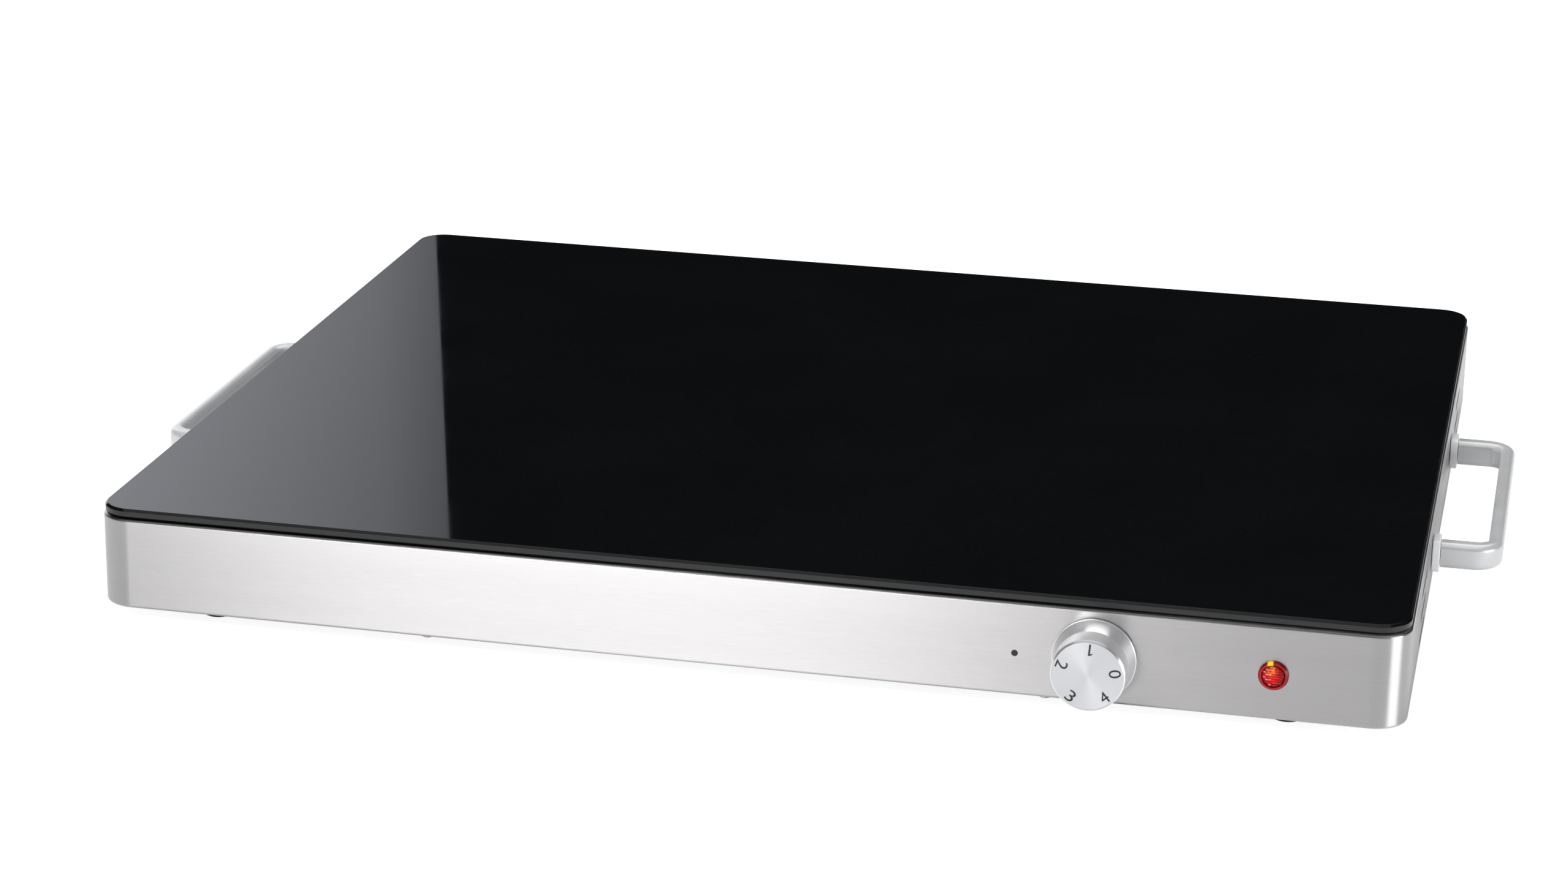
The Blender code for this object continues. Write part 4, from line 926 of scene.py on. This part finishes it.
def lens_mesh():
    """Rim, groove and disc in section, with rows of prisms on the disc."""
    rim = (lens_high.x - lens_low.x) / 2
    back = lens_high.y - front_y
    outside = [(0.05 * MM, -back), (LENS_STEM, -back), (LENS_STEM, LENS_FLANGE),
               (rim, LENS_FLANGE),
               (rim, 0.8 * MM), (rim - 0.7 * MM, 1.75 * MM), (rim - 1.35 * MM, 1.75 * MM),
               (rim - 1.75 * MM, 1.0 * MM), (4.7 * MM, 1.0 * MM), (4.5 * MM, 1.35 * MM),
               (0.05 * MM, DISC_TOP)]
    parts = [turned("lens_shell", soften(outside, 0.25 * MM, 4), 96)]
    for column in range(PRISM_COLUMNS):
        for row in range(PRISM_ROWS):
            x = PRISM_PITCH_X * (column - (PRISM_COLUMNS - 1) / 2) + (0.35 * MM if row % 2 else 0.0)
            y = PRISM_PITCH_Y * (row - (PRISM_ROWS - 1) / 2)
            if math.hypot(x, y) < PRISM_FIELD:
                wobble = math.sin(5.1 * column + 3.3 * row)
                parts.append(prism(x, y, PRISM_PITCH_X * 0.84, PRISM_PITCH_Y * 0.80, DISC_TOP,
                                   (0.20 + 0.07 * wobble) * MM, 0.06 - 0.09 * x / (4 * MM)))
    return joined("lens_fine", parts)


# %% Lamp finish
# The dark stops at the groove and at the outer edge, and the darkening towards the groove, are
# painted shade.
LENS_ZONES = (
    # (radius in mm, colour), from the middle of the disc out to the edge of the rim
    (0.0, (0.46, 0.004, 0.004)), (4.6, (0.32, 0.002, 0.002)), (4.8, (0.05, 0.001, 0.001)),
    (5.1, (0.08, 0.001, 0.001)), (5.4, (0.38, 0.002, 0.006)), (6.0, (0.34, 0.002, 0.006)),
    (6.3, (0.12, 0.002, 0.006)), (7.0, (0.06, 0.001, 0.003)))
LENS_SPAN = 7.0
PRISM_FOOT = 1.54 * MM
PRISM_CREST = 1.70 * MM
DISC_EDGE = (4.85 * MM, 4.70 * MM)
# Orange on the prism crests at the upper left: lamp glow and painted highlight.
CREST_GLOW_AND_HIGHLIGHT_COLOUR = (0.95, 0.34, 0.03, 1.0)
# Yellow square on the top of the rim: a painted highlight.
RIM_PAINTED_HIGHLIGHT_COLOUR = (1.0, 0.72, 0.0, 1.0)
CREST_GLOW_AND_HIGHLIGHT_SPOT = (-0.9 * MM, 2.5 * MM)
CREST_GLOW_AND_HIGHLIGHT_REACH = 3.4 * MM
# The lens glows in its own colours, brightest at the left: painted light.
LEFT_PAINTED_LIGHT_SPOT = (-1.6 * MM, 0.0)
LEFT_PAINTED_LIGHT_REACH = 6.5 * MM
RIM_PAINTED_HIGHLIGHT_SPOT = (-1.5 * MM, 5.75 * MM)
RIM_PAINTED_HIGHLIGHT_HALF = (1.15 * MM, 0.95 * MM)


def spot_mask(tree, at, spot, reach, boxed):
    """1 at a spot, falling to 0 at its reach, round or square."""
    away = node(tree, "VectorMath", {0: at, 1: (spot[0], spot[1], 0.0)}, operation="SUBTRACT")
    scaled = node(tree, "VectorMath", {0: away.outputs[0], 1: (1 / reach[0], 1 / reach[1], 0.0)},
                  operation="MULTIPLY")
    if not boxed:
        far = node(tree, "VectorMath", {0: scaled.outputs[0]}, operation="LENGTH").outputs["Value"]
        return node(tree, "MapRange", {"Value": far, 1: 1.0, 2: 0.0},
                    interpolation_type="SMOOTHSTEP").outputs[0]
    sides = node(tree, "VectorMath", {0: scaled.outputs[0]}, operation="ABSOLUTE")
    parts = node(tree, "SeparateXYZ", {0: sides.outputs[0]})
    far = node(tree, "Math", {0: parts.outputs[0], 1: parts.outputs[1]}, operation="MAXIMUM")
    return node(tree, "MapRange", {"Value": far.outputs[0], 1: 1.30, 2: 0.70}).outputs[0]


def lens_finish():
    """Clear red plastic in bands by radius: painted shade in groove, edge and prism gaps, painted
    highlights and lamp glow on crests and rim, painted light at the left.
    """
    made, shader = dressed("clear_red_plastic", fine_texture, {
        "Dark": grey(0.72), "Light": grey(1.0), "Smooth": 0.16, "Rough": 0.26,
        "Grain": 500.0, "Patches": 260.0}, shader={"IOR": 1.49, "Specular IOR Level": 0.30,
                                                   "Emission Strength": 1.0})
    tree = made.node_tree
    where = node(tree, "TexCoord").outputs["Object"]
    flat = node(tree, "VectorMath", {0: where, 1: (1.0, 1.0, 0.0)}, operation="MULTIPLY")
    radius = node(tree, "VectorMath", {0: flat.outputs[0]}, operation="LENGTH")
    share = node(tree, "Math", {0: radius.outputs["Value"], 1: 1.0 / (LENS_SPAN * MM)},
                 operation="MULTIPLY")
    zones = node(tree, "ValToRGB", {"Fac": share.outputs[0]})
    while len(zones.color_ramp.elements) < len(LENS_ZONES):
        zones.color_ramp.elements.new(0.5)
    for stop, (reach, colour) in zip(zones.color_ramp.elements, LENS_ZONES):
        stop.position = reach / LENS_SPAN
        stop.color = colour + (1.0,)
    height = node(tree, "SeparateXYZ", {0: where})
    # Painted shade and highlight: by height, the prism feet are darkened and their crests
    # brightened.
    ridge = node(tree, "MapRange", {"Value": height.outputs[2], 1: PRISM_FOOT, 2: PRISM_CREST,
                                    3: 0.45, 4: 1.45}, clamp=True)
    on_disc = node(tree, "MapRange", {"Value": radius.outputs["Value"], 1: DISC_EDGE[0],
                                      2: DISC_EDGE[1]})
    shade = node(tree, "Mix", {0: on_disc.outputs[0], 2: 1.0, 3: ridge.outputs[0]})
    banded = node(tree, "VectorMath", {0: zones.outputs["Color"], "Scale": shade.outputs[0]},
                  operation="SCALE")
    mottle = shader.inputs["Base Color"].links[0].from_socket
    body = node(tree, "Mix", {0: 1.0, 6: banded.outputs[0], 7: mottle}, data_type="RGBA",
                blend_type="MULTIPLY")
    tree.links.new(body.outputs[2], shader.inputs["Base Color"])
    # Emission at the upper left, on the prism crests only: lamp glow and painted highlight.
    glow = spot_mask(tree, flat.outputs[0], CREST_GLOW_AND_HIGHLIGHT_SPOT, (CREST_GLOW_AND_HIGHLIGHT_REACH, CREST_GLOW_AND_HIGHLIGHT_REACH), False)
    # Painted highlight: a glowing yellow square at the top of the rim.
    rim_painted_highlight = spot_mask(tree, flat.outputs[0], RIM_PAINTED_HIGHLIGHT_SPOT, RIM_PAINTED_HIGHLIGHT_HALF, True)
    # Painted light: the lens emits its banded colour, strongest towards the left side.
    left_painted_light = spot_mask(tree, flat.outputs[0], LEFT_PAINTED_LIGHT_SPOT, (LEFT_PAINTED_LIGHT_REACH, LEFT_PAINTED_LIGHT_REACH),
                     False)
    lens_in_left_painted_light = node(tree, "Mix", {0: left_painted_light, 6: (0.0, 0.0, 0.0, 1.0), 7: banded.outputs[0]},
                     data_type="RGBA")
    cells = node(tree, "TexNoise", {"Vector": where, "Scale": 900.0, "Detail": 1.0})
    broken = node(tree, "MapRange", {"Value": cells.outputs["Fac"], 1: 0.40, 2: 0.56})
    crest = node(tree, "Math", {0: broken.outputs[0], 1: ridge.outputs[0]}, operation="MULTIPLY",
                 use_clamp=True)
    patchy_glow_and_highlight = node(tree, "Math", {0: glow, 1: crest.outputs[0]}, operation="MULTIPLY")
    warm = node(tree, "Mix", {0: patchy_glow_and_highlight.outputs[0], 6: lens_in_left_painted_light.outputs[2],
                              7: CREST_GLOW_AND_HIGHLIGHT_COLOUR}, data_type="RGBA")
    lit = node(tree, "Mix", {0: rim_painted_highlight, 6: warm.outputs[2], 7: RIM_PAINTED_HIGHLIGHT_COLOUR},
               data_type="RGBA")
    tree.links.new(lit.outputs[2], shader.inputs["Emission Color"])
    return made


lens_place = (lens_middle.x, front_y, lens_middle.z)
place("pilot_lens", smoothed(lens_mesh(), math.radians(28)), lens_finish(), "case",
      ["lamp_lens"], lens_place, FRONTWARDS)

# %% [markdown]
# ## Carrying handles
# Each handle is a cast bar with two legs, sprayed satin silver, and it stands off the wall on
# two pale plastic collars. Casting leaves every edge generously round, so the mesh is a stack of
# the same plan, drawn in more and more as it nears the top and the bottom face.

# %% Handle mesh
HANDLE_ROUND = 3.2 * MM
HANDLE_OUTER = 14.0 * MM
HANDLE_INNER = 6.0 * MM
HANDLE_LEG = 9.8 * MM
HANDLE_BAR = 7.1 * MM


def handle_plan(root, tip, outer, inset):
    """Plan of a handle, legs to the left, drawn in by inset all round but at its flat feet."""
    inner = outer - HANDLE_LEG
    grip = tip - HANDLE_BAR
    big, small = HANDLE_OUTER, HANDLE_INNER
    guard = root + 1.0 * MM
    points = [(root, inset - outer), (guard, inset - outer)]
    points += arc((tip - big, big - outer), big - inset, 270, 360, 16)
    points += arc((tip - big, outer - big), big - inset, 0, 90, 16)
    points += [(guard, outer - inset), (root, outer - inset)]
    points += [(root, inner + inset), (guard, inner + inset)]
    points += arc((grip - small, inner - small), small + inset, 90, 0, 12)
    points += arc((grip - small, small - inner), small + inset, 0, -90, 12)
    return points + [(guard, -inner - inset), (root, -inner - inset)]


def handle_mesh(side):
    """Stack of plans through the rounded section, for the handle on that side."""
    low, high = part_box("handle_right")
    root, tip, outer = low.x, high.x, (high.y - low.y) / 2
    half = (high.z - low.z) / 2
    steps = 7
    levels = []
    for step in range(steps + 1):
        angle = math.radians(90 * step / steps)
        levels.append((HANDLE_ROUND * (1 - math.sin(angle)),
                       half - HANDLE_ROUND * (1 - math.cos(angle))))
    levels = [(HANDLE_ROUND + 0.3 * MM, half), *levels]
    levels += [(inset, -z) for inset, z in reversed(levels)]
    rings = [[(x, y, z) for x, y in handle_plan(root, tip, outer, inset)] for inset, z in levels]
    mesh = loft("handle_fine", rings)
    middle = Vector((0, (low.y + high.y) / 2, (low.z + high.z) / 2))
    turn = Matrix.Rotation(0 if side > 0 else math.pi, 4, "Z")
    return smoothed(moved(mesh, Matrix.Translation(middle) @ turn), math.radians(40))


# %% Handle finish
handle_finish, _ = dressed("satin_silver_paint", fine_texture, {
    "Dark": (0.54, 0.545, 0.55, 1.0), "Light": (0.62, 0.625, 0.63, 1.0),
    "Smooth": 0.30, "Rough": 0.38, "Grain": 2200.0, "Patches": 30.0},
    metallic=0.38, bump=0.08, shader={"Coat Weight": 0.15, "Coat Roughness": 0.25})
for side, label in ((-1, "left"), (1, "right")):
    place("carry_handle_" + label, handle_mesh(side), handle_finish, "case",
          ["handle_" + label])

# %% Collars between handle and wall
collar_finish, _ = dressed("pale_moulded_plastic", fine_texture, {
    "Dark": (0.74, 0.75, 0.76, 1.0), "Light": (0.82, 0.83, 0.84, 1.0),
    "Smooth": 0.38, "Rough": 0.50, "Grain": 1800.0, "Patches": 60.0}, bump=0.10)
COLLAR_CORNER = 1.8 * MM


def collar_mesh(name):
    """Rounded block with softly broken edges, in the place of that node."""
    low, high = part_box(name)
    middle, half = (low + high) / 2, (high - low) / 2
    soft = 0.5 * MM
    section = soften([(3 * soft, -half.x), (0, -half.x), (0, half.x), (3 * soft, half.x)],
                     soft, 4)
    rings = []
    for inset, x in section:
        outline = rounded_rectangle(half.y - inset, half.z - inset,
                                    max(COLLAR_CORNER - inset, 0.6 * MM), steps=8, guard=0.3 * MM)
        rings.append([(x, y, z) for y, z in outline])
    return moved(loft("collar_fine", rings), Matrix.Translation(middle))


for node_name in sorted(name for name in frame["nodes"] if name.startswith("handle_collar")):
    place(node_name.replace("handle_", "") + "_fine", collar_mesh(node_name), collar_finish,
          "case", [node_name])

# %% [markdown]
# ## Underside
# The base plate is galvanised sheet with slots for air, held by small cross-head screws. Each
# rubber foot is moulded with a sunken screw in its sole. Little of it shows from the front, but a
# part can be turned over. The sheets here have no holes for the screws, which the heads hide.

# %% Base plate
galvanised, _ = dressed("galvanised_sheet", fine_texture, {
    "Dark": (0.36, 0.37, 0.38, 1.0), "Light": (0.54, 0.55, 0.56, 1.0),
    "Smooth": 0.34, "Rough": 0.55, "Grain": 260.0, "Patches": 70.0}, metallic=0.9, bump=0.08)
BASE_VENT_ROWS = 5
BASE_VENT_PITCH = 12.0 * MM
BASE_VENT_X = 200.0 * MM
BASE_VENT_LENGTH = 40.0 * MM
BASE_VENT_HEIGHT = 3.0 * MM


def base_mesh():
    """Flat plate with two banks of slots."""
    low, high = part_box("base_plate")
    middle, half = (low + high) / 2, (high - low) / 2
    corner = HOUSING_CORNER - (low.x - housing_low.x)
    edge = 0.12 * MM
    section = soften([(2 * MM, low.z), (0, low.z), (0, high.z), (2 * MM, high.z)], edge, 2)
    rings = rounded_rings(section, half.x, half.y, corner, middle, 12)
    tools = []
    for side in (-1, 1):
        for row in range(BASE_VENT_ROWS):
            y = middle.y + BASE_VENT_PITCH * (row - (BASE_VENT_ROWS - 1) / 2)
            tools.append(moved(stadium_tool(BASE_VENT_LENGTH, BASE_VENT_HEIGHT, 6 * MM),
                               Matrix.Translation((side * BASE_VENT_X, y, middle.z))))
    return punched(loft("base_fine", rings), tools)


place("base_sheet", base_mesh(), galvanised, "case", ["base_plate"])

# %% Screws
# Each screw is (shank radius, head height). The base screws' heads are cut lower than in the
# engineering model, so that they hang less in view under the front edge.
BASE_SCREW = (1.5 * MM, 1.0 * MM)
FOOT_SCREW = (1.8 * MM, 1.6 * MM)
BASE_HEAD_CUT = 0.8 * MM
screw_finish, _ = dressed("plated_screw", lathe_rings, {
    "Dark": grey(0.42), "Light": grey(0.60), "Smooth": 0.22, "Rough": 0.38, "Lines": 3000.0},
    metallic=1.0, bump=0.08)


def screw_mesh(name, kind, flattened=0.0):
    """Pan-head screw, head down, with a cross recess and a chamfered tip."""
    low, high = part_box(name)
    low.z += flattened
    middle = (low + high) / 2
    head_radius = (high.x - low.x) / 2
    shank, head_height = kind
    seat = low.z + head_height
    profile = [(0.05 * MM, low.z), (head_radius * 0.72, low.z),
               (head_radius, low.z + head_height * 0.5), (head_radius, seat),
               (shank, seat), (shank, high.z - shank * 0.5), (shank * 0.4, high.z),
               (0.05 * MM, high.z)]
    mesh = turned("screw_fine", soften(profile, 0.25 * MM, 3), 48)
    arm = head_radius * 1.1
    cuts = []
    for turn in (0, math.pi / 2):
        outline = rounded_rectangle(arm / 2, 0.35 * MM, 0.2 * MM, steps=3, guard=0.02 * MM)
        bar = loft("tool", [[(x, y, z) for x, y in outline]
                            for z in (low.z - 1 * MM, low.z + head_height * 0.6)])
        cuts.append(moved(bar, Matrix.Rotation(turn, 4, "Z")))
    return moved(punched(punched(mesh, cuts[:1]), cuts[1:]),
                 Matrix.Translation((middle.x, middle.y, 0)))


for node_name in sorted(frame["nodes"]):
    if node_name.startswith("base_screw"):
        place(node_name + "_fine", screw_mesh(node_name, BASE_SCREW, BASE_HEAD_CUT),
              screw_finish, "case", [node_name])
    elif node_name.startswith("foot_screw"):
        place(node_name + "_fine", screw_mesh(node_name, FOOT_SCREW), screw_finish,
              "case", [node_name])

# %% Feet
FOOT_SOLE = 7.0 * MM
FOOT_TOP = 9.0 * MM
FOOT_RECESS = 3.8 * MM
FOOT_RECESS_DEPTH = 2.2 * MM
FOOT_BORE = 2.1 * MM
FOOT_EDGE = 0.6 * MM
rubber, _ = dressed("black_rubber", fine_texture, {
    "Dark": grey(0.012), "Light": grey(0.026), "Smooth": 0.62, "Rough": 0.82,
    "Grain": 900.0, "Patches": 120.0}, bump=0.25, bump_depth=0.05 * MM)
for node_name in sorted(frame["nodes"]):
    if node_name.startswith("foot_") and "screw" not in node_name:
        low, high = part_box(node_name)
        middle = (low + high) / 2
        height = high.z - low.z
        profile = soften([(FOOT_RECESS, 0), (FOOT_SOLE, 0), (FOOT_TOP, height), (FOOT_BORE, height),
                          (FOOT_BORE, FOOT_RECESS_DEPTH), (FOOT_RECESS, FOOT_RECESS_DEPTH)],
                         FOOT_EDGE, 4, closed=True)
        place(node_name + "_fine", turned("foot_fine", profile, 72, looped=True), rubber,
              "case", [node_name], (middle.x, middle.y, low.z))

# %% [markdown]
# ## Cord gland
# At the rear the cord would pass through a moulded gland. Its flange is plain, and its cap has
# flutes so that fingers can turn it tight. The flutes are a gentle wave in the radius of each
# ring, strongest in the middle of the cap and gone at its mouth.

# %% Gland
gland_finish, _ = dressed("black_moulded_plastic", fine_texture, {
    "Dark": grey(0.014), "Light": grey(0.030), "Smooth": 0.38, "Rough": 0.55,
    "Grain": 1600.0, "Patches": 80.0}, bump=0.18)
FLUTES = 14


def gland_mesh():
    """Turned gland whose cap is fluted."""
    reach, inner = gland_high.y - rear_y, rear_y - gland_low.y
    flange, cap, thread, bore = 8.0 * MM, 6.5 * MM, 5.6 * MM, 3.5 * MM
    collar = 0.3 * MM
    flange_end = collar + 3.0 * MM
    section = soften([(bore, -inner), (thread, -inner), (thread, collar), (flange, collar),
                      (flange, flange_end), (cap, flange_end + 1.0 * MM), (cap, reach - 1.0 * MM),
                      (cap - 1.0 * MM, reach), (bore, reach)], 0.35 * MM, 4, closed=True)
    rings = []
    for radius, height in section:
        depth = 0.0
        if radius > bore + 1.5 * MM and height > flange_end + 0.2 * MM:
            share = (height - flange_end) / (reach - flange_end)
            depth = 0.45 * MM * math.sin(math.pi * min(max(share, 0.0), 1.0)) ** 0.5
        ring = []
        for x, y in circle(1.0, FLUTES * 10):
            wave = 0.5 - 0.5 * math.cos(FLUTES * math.atan2(y, x))
            ring.append((x * (radius - depth * wave), y * (radius - depth * wave), height))
        rings.append(ring)
    return loft("gland_fine", rings, looped=True)


place("cord_gland_fine", gland_mesh(), gland_finish, "case", ["cord_gland"],
      (gland_middle.x, rear_y, gland_middle.z), REARWARDS)

# %% [markdown]
# ## What is inside
# The inner pieces keep the shapes of the engineering model, which are already right. Each takes
# the finish of its material: spun or drawn metal, pressed fibre, moulded plastic or wire
# insulation. One table holds their values, so that a piece only names its slot.

# %% Finishes of the inner pieces
INNER_FINISHES = {
    # slot: (group, dark, light, smooth, rough, metallic, bump, extra values)
    "silicone": (fine_texture, grey(0.020), grey(0.040), 0.50, 0.66, 0.0, 0.15,
                 {"Grain": 1200.0, "Patches": 60.0}),
    "sheet_aluminium": (drawn_grain, grey(0.62), grey(0.78), 0.30, 0.48, 1.0, 0.10,
                        {"Stretch": (30.0, 1500.0, 1500.0), "Bands": (2.0, 30.0, 30.0)}),
    "galvanised": (fine_texture, grey(0.38), grey(0.56), 0.36, 0.56, 0.9, 0.08,
                   {"Grain": 260.0, "Patches": 70.0}),
    "element_steel": (fine_texture, (0.16, 0.14, 0.12, 1.0), (0.34, 0.30, 0.26, 1.0), 0.36, 0.58,
                      1.0, 0.10, {"Grain": 700.0, "Patches": 26.0}),
    "screw_steel": (drawn_grain, grey(0.42), grey(0.62), 0.24, 0.42, 1.0, 0.08,
                    {"Stretch": (900.0, 900.0, 900.0), "Bands": (60.0, 60.0, 60.0)}),
    "brass": (fine_texture, (0.48, 0.32, 0.12, 1.0), (0.74, 0.54, 0.24, 1.0), 0.22, 0.40, 1.0,
              0.08, {"Grain": 1100.0, "Patches": 90.0}),
    "fibre": (fine_texture, (0.66, 0.63, 0.56, 1.0), (0.86, 0.84, 0.78, 1.0), 0.90, 1.00, 0.0,
              0.60, {"Grain": 420.0, "Patches": 24.0}),
    "phenolic": (fine_texture, grey(0.016), grey(0.034), 0.40, 0.58, 0.0, 0.15,
                 {"Grain": 900.0, "Patches": 60.0}),
    "nylon": (fine_texture, (0.62, 0.60, 0.55, 1.0), (0.74, 0.72, 0.67, 1.0), 0.42, 0.56, 0.0,
              0.10, {"Grain": 900.0, "Patches": 60.0}),
    "wire_brown": (fine_texture, (0.10, 0.035, 0.012, 1.0), (0.17, 0.065, 0.024, 1.0), 0.40,
                   0.55, 0.0, 0.06, {"Grain": 1500.0, "Patches": 50.0}),
    "wire_blue": (fine_texture, (0.02, 0.09, 0.36, 1.0), (0.035, 0.14, 0.48, 1.0), 0.40, 0.55,
                  0.0, 0.06, {"Grain": 1500.0, "Patches": 50.0}),
    "wire_green": (fine_texture, (0.04, 0.26, 0.05, 1.0), (0.07, 0.38, 0.08, 1.0), 0.40, 0.55,
                   0.0, 0.06, {"Grain": 1500.0, "Patches": 50.0}),
}


def inner_finish(slot):
    """Material of a slot, from the table."""
    group, dark, light, smooth, rough, metallic, bump, extra = INNER_FINISHES[slot]
    values = {"Dark": dark, "Light": light, "Smooth": smooth, "Rough": rough, **extra}
    return dressed("inner_" + slot, group, values, metallic=metallic, bump=bump)[0]


inner_materials = {}
for node_name, piece in sorted(frame["nodes"].items()):
    if piece.hide_render:
        continue
    slot = cad_slots[node_name]
    if slot not in inner_materials:
        inner_materials[slot] = inner_finish(slot)
    piece.data.materials.clear()
    piece.data.materials.append(inner_materials[slot])
    smoothed(piece.data)
print("inner finishes:", sorted(inner_materials))
